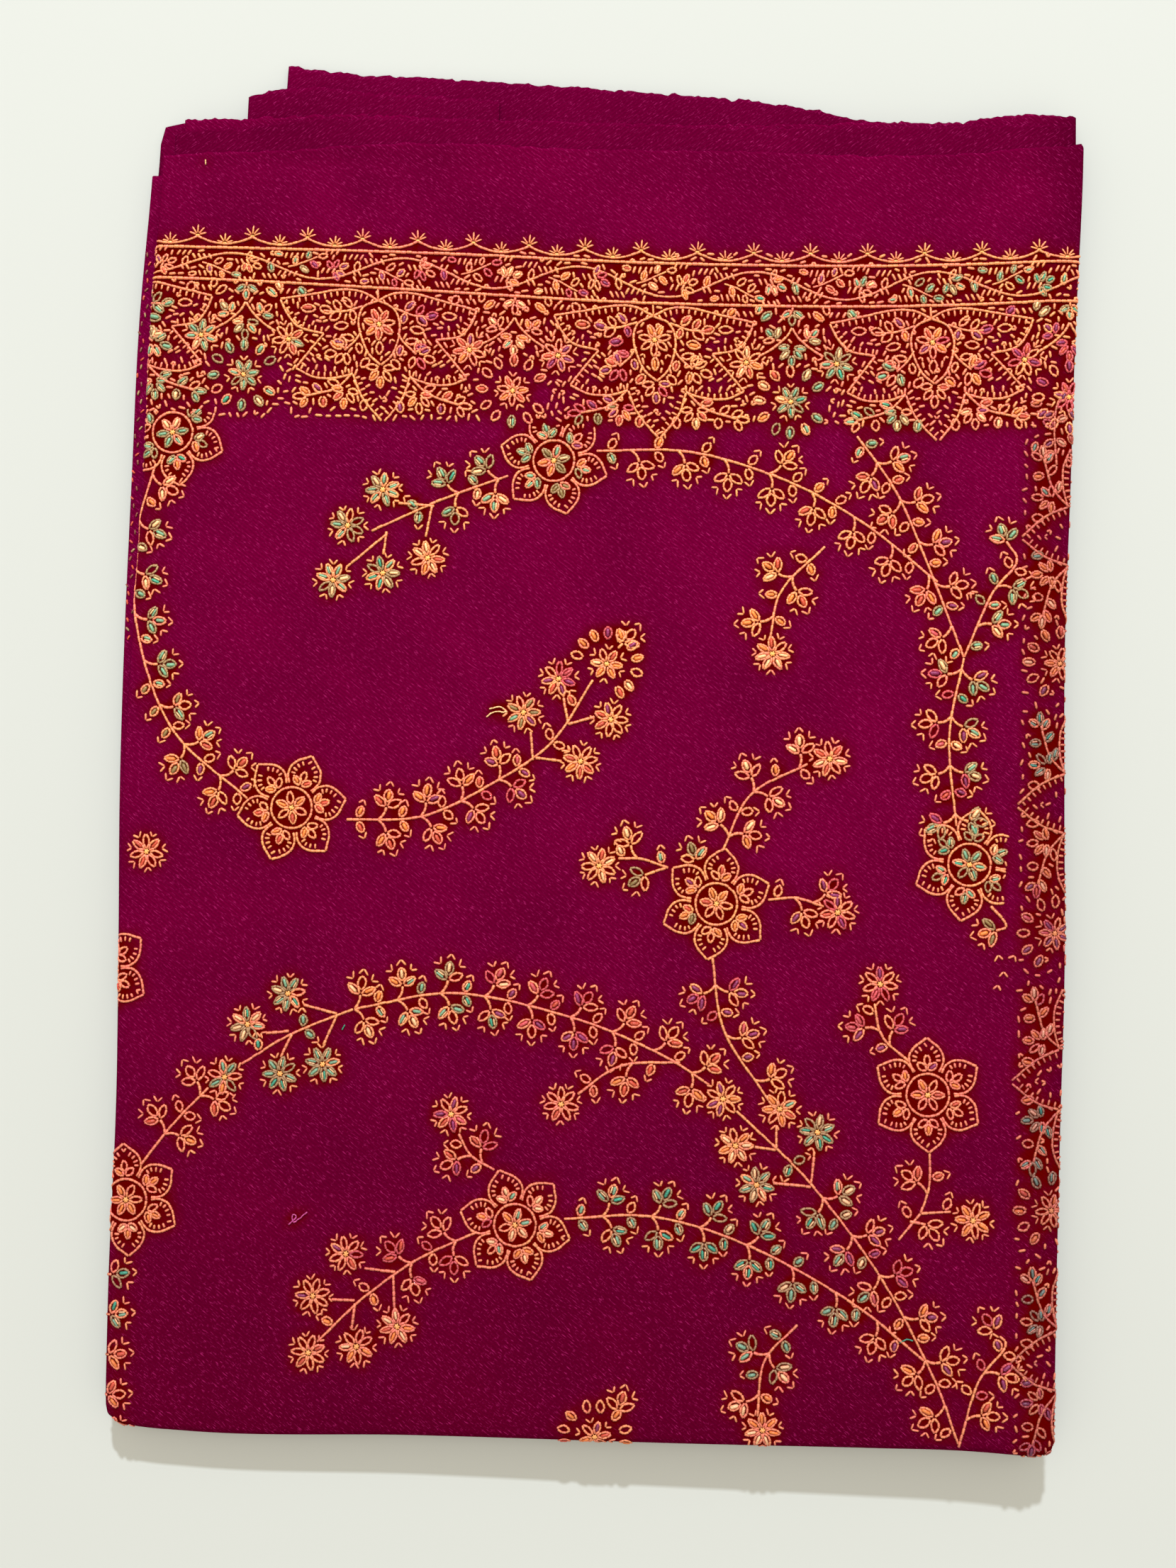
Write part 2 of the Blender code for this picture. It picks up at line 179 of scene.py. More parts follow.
def crease_relief(x, v):
    """Height of the listed soft creases, fading out towards the edges."""
    total = np.zeros(np.broadcast(x, v).shape)
    for cx, cv, degrees, length, width, height in CREASES:
        angle = math.radians(degrees)
        along = (x - cx) * math.cos(angle) + (v - cv) * math.sin(angle)
        side = (v - cv) * math.cos(angle) - (x - cx) * math.sin(angle)
        bend = side - 0.06 * length * np.cos(along / length * 2.6)
        total = total + height * np.exp(-((along / (0.5 * length)) ** 2) - (bend / (0.5 * width)) ** 2)
    inside = np.minimum(np.minimum(x - panel_left(v), panel_right(v) - x), v) - 2.0
    return total * np.clip(inside / 14.0, 0.0, 1.0)


def drape(a, b, h):
    """Place points of the flat cloth (a across, b along, h above it) on the top panel.

    Away from the folds a and b are the plan's x and v. Past a fold the cloth goes round
    it, so points further out land on its nose and then under it."""
    a, b, h = (np.asarray(t, dtype=float) for t in np.broadcast_arrays(a, b, h))
    row = np.clip(b, 0.0, PILE_LENGTH)
    left = panel_left(row)
    right = panel_right(row)
    past_left = left + SIDE_FOLD - a
    past_right = a - right + SIDE_FOLD
    past = np.maximum(past_left, past_right)
    sign = np.where(past_right > past_left, 1.0, -1.0)
    turn = np.clip(past / SIDE_FOLD, 0.0, math.pi)
    run = np.clip(past - math.pi * SIDE_FOLD, 0.0, None)
    side = np.where(sign > 0, right - SIDE_FOLD, left + SIDE_FOLD)
    x = np.where(past > 0, side + sign * ((SIDE_FOLD + h) * np.sin(turn) - run), a)
    rise = np.where(past > 0, -SIDE_FOLD + (SIDE_FOLD + h) * np.cos(turn), h)
    rise = rise + crease_relief(np.clip(a, left, right), b) * np.cos(turn)
    bottom = bottom_edge(x)
    under = bottom + BOTTOM_FOLD - b
    tip = np.clip(under / BOTTOM_FOLD, 0.0, math.pi)
    back = np.clip(under - math.pi * BOTTOM_FOLD, 0.0, None)
    reach = BOTTOM_FOLD + rise
    v = np.where(under > 0, bottom + BOTTOM_FOLD - reach * np.sin(tip) + back, b)
    z = panel_top(x, v) + np.where(under > 0, -BOTTOM_FOLD + reach * np.cos(tip), rise)
    for corner, inward in ((left, 1.0), (right, -1.0)):
        pull = CORNER_PULL * np.clip(1.0 - np.hypot(x - corner, v - bottom) / CORNER_REACH, 0.0, 1.0) ** 2
        x = x + inward * pull
        v = v + pull
    return np.stack([x, v - PILE_MIDDLE, z], axis=-1) * MM


def drape_left_fold(a, b, h):
    """Place points on the folded edge that peeps out on the left; a counts from its nose."""
    a, b, h = (np.asarray(t, dtype=float) for t in np.broadcast_arrays(a, b, h))
    radius = 0.5 * LEFT_FOLD_THICK
    nose = outer_left(b)
    past = nose + radius - a
    turn = np.clip(past / radius, 0.0, math.pi)
    run = np.clip(past - math.pi * radius, 0.0, None)
    x = np.where(past > 0, nose + radius - (radius + h) * np.sin(turn) + run, a)
    rise = np.where(past > 0, -radius + (radius + h) * np.cos(turn), h)
    z = panel_top(x, b) - LEFT_FOLD_DEPTH + rise
    return np.stack([x, b - PILE_MIDDLE, z], axis=-1) * MM


def linear(red, green, blue):
    """A screen colour, 0 to 255, as linear light."""
    parts = np.array([red, green, blue], dtype=float) / 255.0
    return np.where(parts <= 0.04045, parts / 12.92, ((parts + 0.055) / 1.055) ** 2.4)


def make_mesh(name, points, faces):
    """A mesh object from an array of points and arrays of faces with equal corners each."""
    mesh = bpy.data.meshes.new(name)
    corners = np.concatenate([f.ravel() for f in faces]).astype(np.int32)
    sizes = np.concatenate([np.full(len(f), f.shape[1]) for f in faces])
    starts = np.concatenate([[0], np.cumsum(sizes)[:-1]]).astype(np.int32)
    mesh.vertices.add(len(points))
    mesh.vertices.foreach_set("co", np.asarray(points, dtype=np.float32).ravel())
    mesh.loops.add(len(corners))
    mesh.loops.foreach_set("vertex_index", corners)
    mesh.polygons.add(len(sizes))
    mesh.polygons.foreach_set("loop_start", starts)
    mesh.update(calc_edges=True)
    mesh.validate()
    mesh.shade_smooth()
    piece = bpy.data.objects.new(name, mesh)
    bpy.context.scene.collection.objects.link(piece)
    return piece


def add_vectors(piece, name, values):
    layer = piece.data.attributes.new(name, "FLOAT_VECTOR", "POINT")
    layer.data.foreach_set("vector", np.asarray(values, dtype=np.float32).ravel())


def add_colours(piece, name, values):
    layer = piece.data.attributes.new(name, "FLOAT_COLOR", "POINT")
    values = np.asarray(values, dtype=np.float32)
    layer.data.foreach_set("color", np.column_stack([values, np.ones(len(values))]).ravel())


def ring(grid):
    """The rim of a grid as one closed row."""
    return np.concatenate([grid[0, :-1], grid[:-1, -1], grid[-1, :0:-1], grid[:0:-1, 0]])


def grid_faces(index):
    """Four-cornered faces between the points that a grid numbers."""
    corners = [index[:-1, :-1], index[:-1, 1:], index[1:, 1:], index[1:, :-1]]
    return np.stack(corners, axis=-1).reshape(-1, 4)


def cloth_wall(name, outer, inner, weave):
    """A closed sheet between two grids of points that share rows and columns."""
    rows, columns = outer.shape[:2]
    count = rows * columns
    index = np.arange(count).reshape(rows, columns)
    top = grid_faces(index)
    loop = ring(index)
    ahead = np.roll(loop, -1)
    rim = np.stack([loop, loop + count, ahead + count, ahead], axis=-1)
    points = np.concatenate([outer.reshape(-1, 3), inner.reshape(-1, 3)])
    piece = make_mesh(name, points, [top, top[:, ::-1] + count, rim])
    flat = weave.reshape(-1, 2)
    flat = np.column_stack([flat, np.zeros(len(flat))])
    add_vectors(piece, "weave", np.concatenate([flat, flat + (0.0, 0.0, 1.0)]))
    return piece


def serration(places, size):
    """Uneven line of a cut edge: short teeth of a few threads, seeded."""
    teeth = rng.normal(0.0, 1.0, len(places))
    soft = np.convolve(teeth, (0.25, 0.5, 0.25), mode="same")
    return size * (0.6 * teeth + soft)


def spread(start, end, step):
    return np.linspace(start, end, max(2, int(round((end - start) / step)) + 1))


# Materials of the cloth and the thread
CLOTH_FACE = linear(106, 0, 48)
# painted shade: the cloth gets darker towards the bottom of the pile
CLOTH_PAINTED_LOW_SHADE = linear(85, 0, 31)
CLOTH_FLECK = linear(162, 34, 98)
CLOTH_DEEP = linear(69, 0, 28)
# painted shade between close stitches, warm-tinted like light bounced off the thread
CLOTH_PAINTED_STITCH_SHADE = linear(82, 1, 0)
# painted shade: the cloth is darker near the right fold, which turns away from the light
CLOTH_PAINTED_EDGE_SHADE = linear(54, 0, 14)
# painted shade: stitches are darker and redder at their sides
THREAD_PAINTED_SIDE_SHADE = (0.78, 0.36, 0.30, 1.0)


class Nodes:
    """A short way to write a material's node tree."""

    def __init__(self, name):
        self.material = bpy.data.materials.new(name)
        self.material.use_nodes = True
        self.tree = self.material.node_tree
        self.shader = self.tree.nodes["Principled BSDF"]

    def add(self, kind, settings=(), **sockets):
        node = self.tree.nodes.new("ShaderNode" + kind)
        for key, value in dict(settings).items():
            setattr(node, key, value)
        for key, value in sockets.items():
            self.plug(node, key.replace("_", " "), value)
        return node

    def plug(self, node, key, value):
        """Link or set an input, which goes by its name or, as in i6, by its number."""
        counted = key[0] == "i" and key[1:].isdigit()
        socket = node.inputs[int(key[1:]) if counted else key]
        if isinstance(value, bpy.types.NodeSocket):
            self.tree.links.new(value, socket)
        else:
            socket.default_value = value

    def attribute(self, name, output):
        return self.add("Attribute", {"attribute_name": name}).outputs[output]

    def sum(self, first, second, how="ADD"):
        return self.add("Math", {"operation": how}, i0=first, i1=second).outputs[0]

    def times(self, value, share):
        return self.sum(value, share, "MULTIPLY")

    def ramp(self, value, low, high):
        node = self.add("MapRange", {"clamp": True}, Value=value, From_Min=low, From_Max=high)
        return node.outputs[0]

    def blend(self, share, first, second, how="MIX"):
        settings = {"data_type": "RGBA", "blend_type": how}
        return self.add("Mix", settings, Factor=share, i6=first, i7=second).outputs[2]

    def surface(self, colour, relief, strength, depth, roughness, specular):
        """Colour, bumps and gloss of the finished surface."""
        bump = self.add("Bump", Height=relief, Strength=strength, Distance=depth)
        self.plug(self.shader, "Base Color", colour)
        self.plug(self.shader, "Normal", bump.outputs[0])
        self.plug(self.shader, "Roughness", roughness)
        self.plug(self.shader, "Specular IOR Level", specular)
        return self.material


def rgba(colour):
    return (float(colour[0]), float(colour[1]), float(colour[2]), 1.0)


def cloth_material(name, twill_degrees, shade):
    """Fine twill: diagonal ribs with paler flecks where single threads float over them."""
    n = Nodes(name)
    weave = n.attribute("weave", "Vector")
    turn = (0.0, 0.0, math.radians(-twill_degrees))
    turned = n.add("Mapping", Vector=weave, Rotation=turn).outputs[0]

    def streaks(length, width, offset, low, high, detail=1.0):
        """Noise drawn out along the twill, 0 below low and 1 above high."""
        scale = (1.0 / length, 1.0 / width, 1.0)
        shift = (offset, 0.37 * offset, offset)
        at = n.add("Mapping", Vector=turned, Scale=scale, Location=shift).outputs[0]
        noise = n.add("TexNoise", Vector=at, Scale=1.0, Detail=detail).outputs["Fac"]
        return n.ramp(noise, low, high)

    def dyed(share, base, dye):
        return n.blend(share, base, rgba(dye * shade))

    bands = {"wave_type": "BANDS", "bands_direction": "Y"}
    ribs = n.add("TexWave", bands, Vector=turned, Scale=0.242, Distortion=2.2, Detail=1.0, Detail_Scale=0.9)
    ribs = ribs.outputs["Fac"]
    flecks = streaks(2.3, 0.42, 11.0, 0.60, 0.74)
    cross = streaks(0.5, 1.5, 47.0, 0.64, 0.78)
    flecks = n.sum(flecks, n.times(cross, 0.6), "MAXIMUM")
    clouds = streaks(46.0, 38.0, 5.0, 0.3, 0.7, 2.0)
    grain = streaks(0.8, 0.6, 23.0, 0.3, 0.7, 2.0)
    place = n.add("SeparateXYZ", Vector=weave).outputs
    # painted shade, darker towards the bottom of the pile
    colour = dyed(n.ramp(place["Y"], 250.0, 30.0), rgba(CLOTH_FACE * shade), CLOTH_PAINTED_LOW_SHADE)
    # painted shade near the right fold
    colour = dyed(n.times(n.ramp(place["X"], 158.0, 180.0), 0.55), colour, CLOTH_PAINTED_EDGE_SHADE)
    colour = dyed(n.times(clouds, 0.45), colour, CLOTH_DEEP)
    colour = dyed(n.times(ribs, 0.38), colour, CLOTH_DEEP)
    colour = dyed(n.times(grain, 0.30), colour, CLOTH_DEEP)
    colour = dyed(n.times(flecks, 0.62), colour, CLOTH_FLECK)
    # painted shade between close stitches
    colour = dyed(n.attribute("painted_stitch_shade", "Fac"), colour, CLOTH_PAINTED_STITCH_SHADE)
    relief = n.sum(n.times(ribs, -0.5), n.times(flecks, 0.55))
    relief = n.sum(relief, n.times(grain, 0.35))
    return n.surface(colour, relief, 0.55, 0.00018, 0.82, 0.0)


def thread_material(name):
    """Loosely twisted thread in each stitch's own dye colour, with painted shade that makes it deeper and
    redder at its sides.
    """
    n = Nodes(name)
    dye = n.attribute("thread", "Color")
    place = n.attribute("strand", "Vector")
    bands = {"wave_type": "BANDS", "bands_direction": "DIAGONAL"}
    twist = n.add("TexWave", bands, Vector=place, Scale=0.62, Distortion=1.5).outputs["Fac"]
    fuzz = n.add("TexNoise", Vector=place, Scale=2.4).outputs["Fac"]
    darker = n.add("HueSaturation", Color=dye, Value=0.72).outputs[0]
    colour = n.blend(n.times(twist, 0.22), dye, darker)
    side = n.sum(n.add("SeparateXYZ", Vector=place).outputs["Y"], 0.0, "ABSOLUTE")
    # painted shade on the sides of each stitch
    shaded = n.blend(1.0, colour, THREAD_PAINTED_SIDE_SHADE, "MULTIPLY")
    colour = n.blend(n.times(n.ramp(side, 0.12, 0.5), 0.8), colour, shaded)
    relief = n.sum(twist, n.times(fuzz, 0.6))
    return n.surface(colour, relief, 0.5, 0.00012, 0.48, 0.6)


FACE_TWILL = -38.0
BACK_TWILL = 38.0
face_cloth = cloth_material("wine_twill_face", FACE_TWILL, 1.0)
# the back of the cloth with its twill turned, darkened to 0.86 as painted shade for the plies that lie lower
back_cloth = cloth_material("wine_twill_back_shaded", BACK_TWILL, 0.86)
deep_cloth = cloth_material("wine_twill_shaded", FACE_TWILL, 0.8)
thread_cloth = thread_material("embroidery_thread")


def finish_piece(piece, material, node=None):
    piece.data.materials.append(material)
    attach(piece, "root")
    if node:
        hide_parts(node)
    return piece


# Embroidered top panel: a grid in the flat cloth, close-set where it goes round a fold
GRID_STEP = 2.8
side_wrap = math.pi * SIDE_FOLD + SIDE_LIP_RUN
bottom_wrap = math.pi * BOTTOM_FOLD + BOTTOM_LIP_RUN
across = np.concatenate([
    -side_wrap + spread(0.0, side_wrap, 0.55)[:-1],
    spread(0.0, 1.0, GRID_STEP / (PANEL_WIDTH - 2 * SIDE_FOLD)),
    1.0 + spread(0.0, side_wrap, 0.55)[1:],
])
wrap_share = np.where(across < 0, across, np.where(across > 1, across - 1.0, 0.0))
span_share = np.clip(across, 0.0, 1.0)
bottom_steps = spread(-bottom_wrap, 0.0, 0.9)[:-1]
up_steps = np.concatenate([spread(0.0, 0.975, GRID_STEP / 487.0), spread(0.975, 1.0, 0.0022)[1:]])
tooth = serration(span_share, 0.28)


def panel_grid():
    columns = span_share[None, :]
    wraps = wrap_share[None, :]
    rough_x = -0.5 * PANEL_WIDTH + PANEL_WIDTH * span_share
    start = bottom_edge(rough_x) + BOTTOM_FOLD
    end = smooth_row(TOP_PANEL_EDGE, 1, rough_x) + tooth
    lower = start[None, :] + bottom_steps[:, None]
    upper = start[None, :] + (end - start)[None, :] * up_steps[:, None]
    b = np.concatenate([lower, upper])
    row = np.clip(b, 0.0, PILE_LENGTH)
    left = panel_left(row) + SIDE_FOLD
    right = panel_right(row) - SIDE_FOLD
    return left + (right - left) * columns + wraps, b


grid_a, grid_b = panel_grid()
top_cloth = cloth_wall(
    "embroidered_top_cloth",
    drape(grid_a, grid_b, 0.0),
    drape(grid_a, grid_b, -WALL),
    np.stack([grid_a, grid_b], axis=-1),
)
finish_piece(top_cloth, face_cloth, "top_panel")

# Folded edge of the ply beneath, which peeps out on the left
fold_radius = 0.5 * LEFT_FOLD_THICK
fold_wrap = math.pi * fold_radius
fold_rows = spread(LEFT_FOLD_START, LEFT_FOLD_END, 3.0)[:, None]
fold_steps = np.concatenate([
    spread(-fold_wrap - LEFT_FOLD_WIDTH + fold_radius, -fold_wrap, 1.4)[:-1],
    spread(-fold_wrap, 0.0, 0.35)[:-1],
    spread(0.0, LEFT_FOLD_WIDTH - fold_radius, 1.2),
])[None, :]
fold_a = outer_left(fold_rows) + fold_radius + fold_steps
fold_b = fold_rows + 0.0 * fold_steps
left_cloth = cloth_wall(
    "left_folded_edge",
    drape_left_fold(fold_a, fold_b, 0.0),
    drape_left_fold(fold_a, fold_b, -0.8),
    np.stack([fold_a, fold_b], axis=-1),
)
finish_piece(left_cloth, face_cloth, "left_fold")


# Cut ends of the plies beneath, fanned out past the edge of the top panel
def ply_top(x, v, depth, droop):
    """Height of a ply that lies a given depth down in the pile and sags at its end."""
    fall = np.clip((v - DROOP_START) / (PILE_LENGTH - DROOP_START), 0.0, None)
    return panel_top(x, np.minimum(v, PILE_LENGTH)) - depth - droop * fall * fall


for name, left, right, depth, droop, edge in PLY_ENDS:
    x = spread(left, right, 1.3)
    share = np.concatenate([spread(0.0, 0.9, 0.13)[:-1], spread(0.9, 1.0, 0.05)])[:, None]
    end = smooth_row(edge, 1, x) + serration(x, 0.3)
    b = PLY_END_BACK + (end - PLY_END_BACK)[None, :] * share
    a = x[None, :] + 0.0 * share
    ripple = 0.12 * np.sin(a / 9.0 + depth) * np.sin(b / 7.0 + 2.0 * depth)
    top = ply_top(a, b, depth, droop) + ripple

    def lowered(drop):
        return np.stack([a, b - PILE_MIDDLE, top - drop], axis=-1) * MM

    piece = cloth_wall(name.replace("end", "cloth"), lowered(0.0), lowered(0.95), np.stack([a, b], axis=-1))
    finish_piece(piece, face_cloth if name == "third_ply_end" else back_cloth, name)

# Hidden plies: one rounded solid whose sides show them as folds and hollows
CORE_LOW_DEPTH = 7.6
CORE_TOP_ALONG = 508.4
CORE_CORNER = 5.0
CORE_LOW_ROWS = np.array([
    # row, share, inset_left, inset_right, inset_bottom, inset_top
    (0, 0.00, 2.6, 2.6, 2.8, 9.4),
    (1, 0.07, 1.3, 1.4, 1.2, 8.2),
    (2, 0.17, 1.1, 1.2, 0.9, 8.0),
    (3, 0.25, 2.1, 2.0, 2.0, 9.2),
    (4, 0.33, 0.9, 1.5, 1.3, 7.4),
    (5, 0.43, 0.9, 1.3, 1.0, 7.2),
    (6, 0.51, 1.9, 2.3, 2.1, 8.6),
    (7, 0.59, 1.2, 1.0, 0.7, 6.6),
    (8, 0.69, 1.1, 0.9, 0.6, 6.6),
    (9, 0.77, 2.1, 1.9, 1.9, 8.4),
    (10, 0.85, 0.8, 1.4, 1.1, 7.0),
    (11, 0.95, 0.9, 1.3, 1.2, 7.0),
])
CORE_HIGH_ROWS = np.array([
    # depth, inset_left, inset_right, inset_bottom, inset_top
    (7.55, 1.6, 1.8, 5.6, 9.0),
    (7.05, 1.1, 1.1, 5.6, 14.0),
    (6.80, 1.0, 1.1, 5.6, 28.2),
    (6.00, 1.2, 1.9, 5.6, 28.2),
    (5.35, 1.5, 1.2, 5.6, 28.2),
    (5.25, 9.0, 1.0, 5.6, 28.2),
    (4.40, 9.0, 1.8, 5.6, 28.2),
    (3.60, 9.0, 1.0, 5.6, 28.2),
    (2.80, 9.0, 1.4, 5.6, 28.2),
    (2.70, 9.0, 3.2, 5.6, 28.2),
    (2.40, 9.0, 3.2, 5.6, 28.2),
    (2.35, 8.7, 3.2, 5.6, 28.2),
    (1.60, 8.6, 3.2, 5.6, 28.2),
    (1.30, 9.2, 3.8, 6.2, 28.8),
])
CORE_COLUMNS = 40
CORE_ROWS = 60


def core_section(insets):
    """Plan of one section of the core as a grid, its outer line eased at the corners."""
    inset_left, inset_right, inset_bottom, inset_top = insets
    top = CORE_TOP_ALONG - inset_top
    s = np.linspace(0.0, 1.0, CORE_COLUMNS + 1)[None, :]
    t = np.linspace(0.0, 1.0, CORE_ROWS + 1)[:, None]
    left = outer_left(t * top) + inset_left
    right = panel_right(t * top) - inset_right
    x = left + s * (right - left)
    bottom = bottom_edge(x) + inset_bottom
    v = bottom + t * (top - bottom)
    centre_x = np.clip(x, left + CORE_CORNER, right - CORE_CORNER)
    centre_v = np.clip(v, bottom + CORE_CORNER, top - CORE_CORNER)
    out_x = x - centre_x
    out_v = v - centre_v
    far = np.maximum(np.hypot(out_x, out_v), 1e-9)
    ease = np.maximum(np.abs(out_x), np.abs(out_v)) / far
    return centre_x + out_x * ease, centre_v + out_v * ease


core_levels = []
for place in spread(0.0, 11.0, 1.0 / 3.0):
    share = float(smooth_row(CORE_LOW_ROWS, 1, place))
    grid_x, grid_v = core_section([float(smooth_row(CORE_LOW_ROWS, k, place)) for k in (2, 3, 4, 5)])
    core_levels.append((grid_x, grid_v, share * (panel_top(grid_x, grid_v) - CORE_LOW_DEPTH)))
for depth, *insets in CORE_HIGH_ROWS:
    grid_x, grid_v = core_section(insets)
    core_levels.append((grid_x, grid_v, panel_top(grid_x, grid_v) - depth))
rings = np.array([[ring(part) for part in level] for level in core_levels])
rings = np.moveaxis(rings, 1, 2)
ring_count = rings.shape[1]
index = np.arange(rings.shape[0] * ring_count).reshape(rings.shape[0], ring_count)
ahead = np.roll(index, -1, axis=1)
core_sides = np.stack([index[:-1], ahead[:-1], ahead[1:], index[1:]], axis=-1).reshape(-1, 4)
cap_points = np.stack(core_levels[-1], axis=-1)
cap_index = np.full(cap_points.shape[:2], -1)
cap_rows, cap_columns = np.indices(cap_index.shape)
cap_index[ring(cap_rows), ring(cap_columns)] = index[-1]
inner = cap_index < 0
cap_index[inner] = index.size + np.arange(inner.sum())
core_places = np.concatenate([rings.reshape(-1, 3), cap_points[inner]])
core_points = (core_places - (0.0, PILE_MIDDLE, 0.0)) * MM
core_foot = index[0][::-1][None, :]
core = make_mesh("hidden_plies", core_points, [core_sides, grid_faces(cap_index), core_foot])
add_vectors(core, "weave", core_places)
finish_piece(core, deep_cloth, "folded_core")


# Embroidery. Every mark is made of stitches: short spindles of thread laid on the cloth
SALMON = linear(239, 126, 98)
ORANGE = linear(241, 160, 92)
THREADS = {
    "gold": linear(255, 184, 92),
    "mint": linear(116, 168, 126),
    "cream": linear(244, 202, 138),
    "teal": linear(52, 158, 118),
    "olive": linear(134, 110, 54),
    "magenta": linear(134, 18, 82),
    "rose": linear(202, 74, 78),
    "moss": linear(166, 132, 84),
    "rust": linear(200, 72, 38),
    "amber": linear(232, 132, 46),
    "pink": linear(206, 73, 147),
    "umber": linear(131, 60, 40),
}
# What fills the leaves and petals: thread and share, the rest is left open
FILLS = {
    "mint": (("mint", 0.60), ("cream", 0.16), ("teal", 0.09)),
    "cream": (("cream", 0.36), ("mint", 0.22), ("amber", 0.20)),
    "teal": (("teal", 0.55), ("mint", 0.25), ("cream", 0.1)),
    "orange": (("rust", 0.18), ("amber", 0.20), ("magenta", 0.06)),
    "magenta": (("magenta", 0.38), ("rose", 0.08), ("rust", 0.06)),
    "olive": (("olive", 0.40), ("mint", 0.16), ("amber", 0.20)),
    "gold": (("amber", 0.34), ("cream", 0.24), ("rust", 0.06)),
}
FILL_PLACES = {
    # places (x, v) on the cloth where each fill is at home
    "mint": (
        (-172, 405), (-140, 400), (-128, 425), (-165, 376), (-170, 330), (62, 420), (75, 395), (84, 412),
        (110, 436), (140, 436), (107, 388), (-82, 355), (-95, 341), (-100, 320), (-50, 358), (-28, 370),
        (153, 330), (148, 300), (148, 255), (141, 218), (-165, 300), (-125, 142), (-105, 150), (-50, 164),
        (66, 98), (90, 92), (0, 84), (30, 84), (90, 62), (72, 38), (170, 260), (172, 120), (172, 60),
        (-168, 45),
    ),
    "orange": (
        (-112, 405), (-150, 442), (-95, 420), (-85, 400), (-55, 405), (-30, 395), (25, 415), (38, 410),
        (90, 436), (110, 420), (128, 405), (20, 368), (50, 362), (85, 348), (112, 355), (130, 330),
        (-140, 245), (-113, 233), (-90, 236), (-62, 240), (-5, 262), (48, 201), (-168, 215), (-171, 165),
        (-150, 122), (0, 130), (30, 145), (52, 128), (72, 127), (125, 45), (138, 15), (-99, 52),
        (-100, 32), (-40, 72), (10, 6), (127, 133), (128, 100), (172, 293), (172, 92), (-168, 20),
    ),
    "magenta": (
        (-70, 420), (-90, 441), (-60, 439), (-12, 395), (-25, 385), (0, 415), (10, 400), (145, 415),
        (172, 405), (122, 290), (122, 255), (-40, 250), (-13, 284), (12, 302), (85, 203), (-25, 160),
        (0, 150), (55, 165), (108, 70), (150, 45), (-60, 62), (-44, 108), (108, 165), (172, 193), (172, 20),
    ),
    "gold": (
        (-158, 360), (-30, 438), (20, 436), (50, 436), (60, 400), (148, 388), (-64, 329), (75, 318),
        (67, 296), (5, 290), (10, 212), (60, 235), (88, 255), (-168, 84), (57, 110), (-80, 42), (143, 88),
        (170, 330), (172, 230), (170, 150),
    ),
    "cream": ((-35, 420), (150, 378), (-75, 160), (-22, 80), (67, 12)),
    "teal": ((168, 436), (-80, 323), (87, 118), (60, 76)),
    "olive": ((-8, 362), (146, 190), (-160, 262), (-26, 272), (30, 205)),
}
fill_spots = np.array([spot for spots in FILL_PLACES.values() for spot in spots], dtype=float)
spot_fills = [fill for fill, spots in FILL_PLACES.items() for _ in spots]
LINE_THICK = 0.95
STEM_THICK = 1.04
STITCH_LENGTH = 2.1
STITCH_SHARES = np.array([0.0, 0.2, 0.8, 1.0])[:, None]
BUD_STALK = 5.6
BUD_LEAVES = {
    # by number of leaves: turn away from the stalk, distance from its end, length, width
    3: ((-1.02, 0.2, 6.3, 3.8), (1.02, 0.2, 6.3, 3.8), (0.0, 1.5, 6.0, 4.2)),
    5: (
        (-1.5, 0.6, 5.2, 3.2),
        (1.5, 0.6, 5.2, 3.2),
        (-0.72, 1.4, 5.4, 3.2),
        (0.72, 1.4, 5.4, 3.2),
        (0.0, 3.2, 5.2, 3.6),
    ),
}
# painted shade: threads get darker towards the bottom of the pile, as the cloth does
THREAD_PAINTED_LOW_SHADE = np.array([0.24, 0.32, 0.18])
needlework = {}


def curve(points, step=0.8):
    """A smooth path through the points, as places a set step apart."""
    points = np.asarray(points, dtype=float)
    if len(points) == 2:
        return points
    ends = np.concatenate([[2 * points[0] - points[1]], points, [2 * points[-1] - points[-2]]])
    parts = []
    for p, q, r, s in zip(ends[:-3], ends[1:-2], ends[2:-1], ends[3:]):
        t = np.linspace(0.0, 1.0, max(2, int(np.hypot(*(r - q)) / step)))[:-1, None]
        parts.append(
            0.5 * (2 * q + (r - p) * t + (2 * p - 5 * q + 4 * r - s) * t**2 + (3 * q - p - 3 * r + s) * t**3)
        )
    return np.concatenate(parts + [points[-1:]])


def polar(x, y, angle, distance):
    return (x + distance * math.cos(angle), y + distance * math.sin(angle))


def measured(path):
    """Running length along a path."""
    return np.concatenate([[0.0], np.cumsum(np.hypot(*np.diff(path, axis=0).T))])


def points_at(path, run, places):
    return np.stack([np.interp(places, run, path[:, 0]), np.interp(places, run, path[:, 1])], axis=-1)


def along_path(path, places):
    """Points and directions at running lengths of a path."""
    run = measured(path)
    low = np.clip(np.asarray(places) - 0.4, 0.0, run[-1])
    high = np.clip(np.asarray(places) + 0.4, 0.0, run[-1])
    way = points_at(path, run, high) - points_at(path, run, low)
    return points_at(path, run, places), np.arctan2(way[:, 1], way[:, 0])


def outline_colours(at):
    """The outlines' variegated thread: salmon to orange in slow turns, a little uneven."""
    slow = 0.5 + 0.5 * np.sin(at[:, 0] * 0.043 + 1.3 * np.sin(at[:, 1] * 0.031))
    quick = 0.5 + 0.5 * np.sin(at[:, 0] * 0.31 + at[:, 1] * 0.27)
    share = np.clip(0.55 * slow + 0.30 * quick + rng.normal(0.0, 0.16, len(at)) + 0.08, 0.0, 1.0)[:, None]
    return SALMON * (1 - share) + ORANGE * share


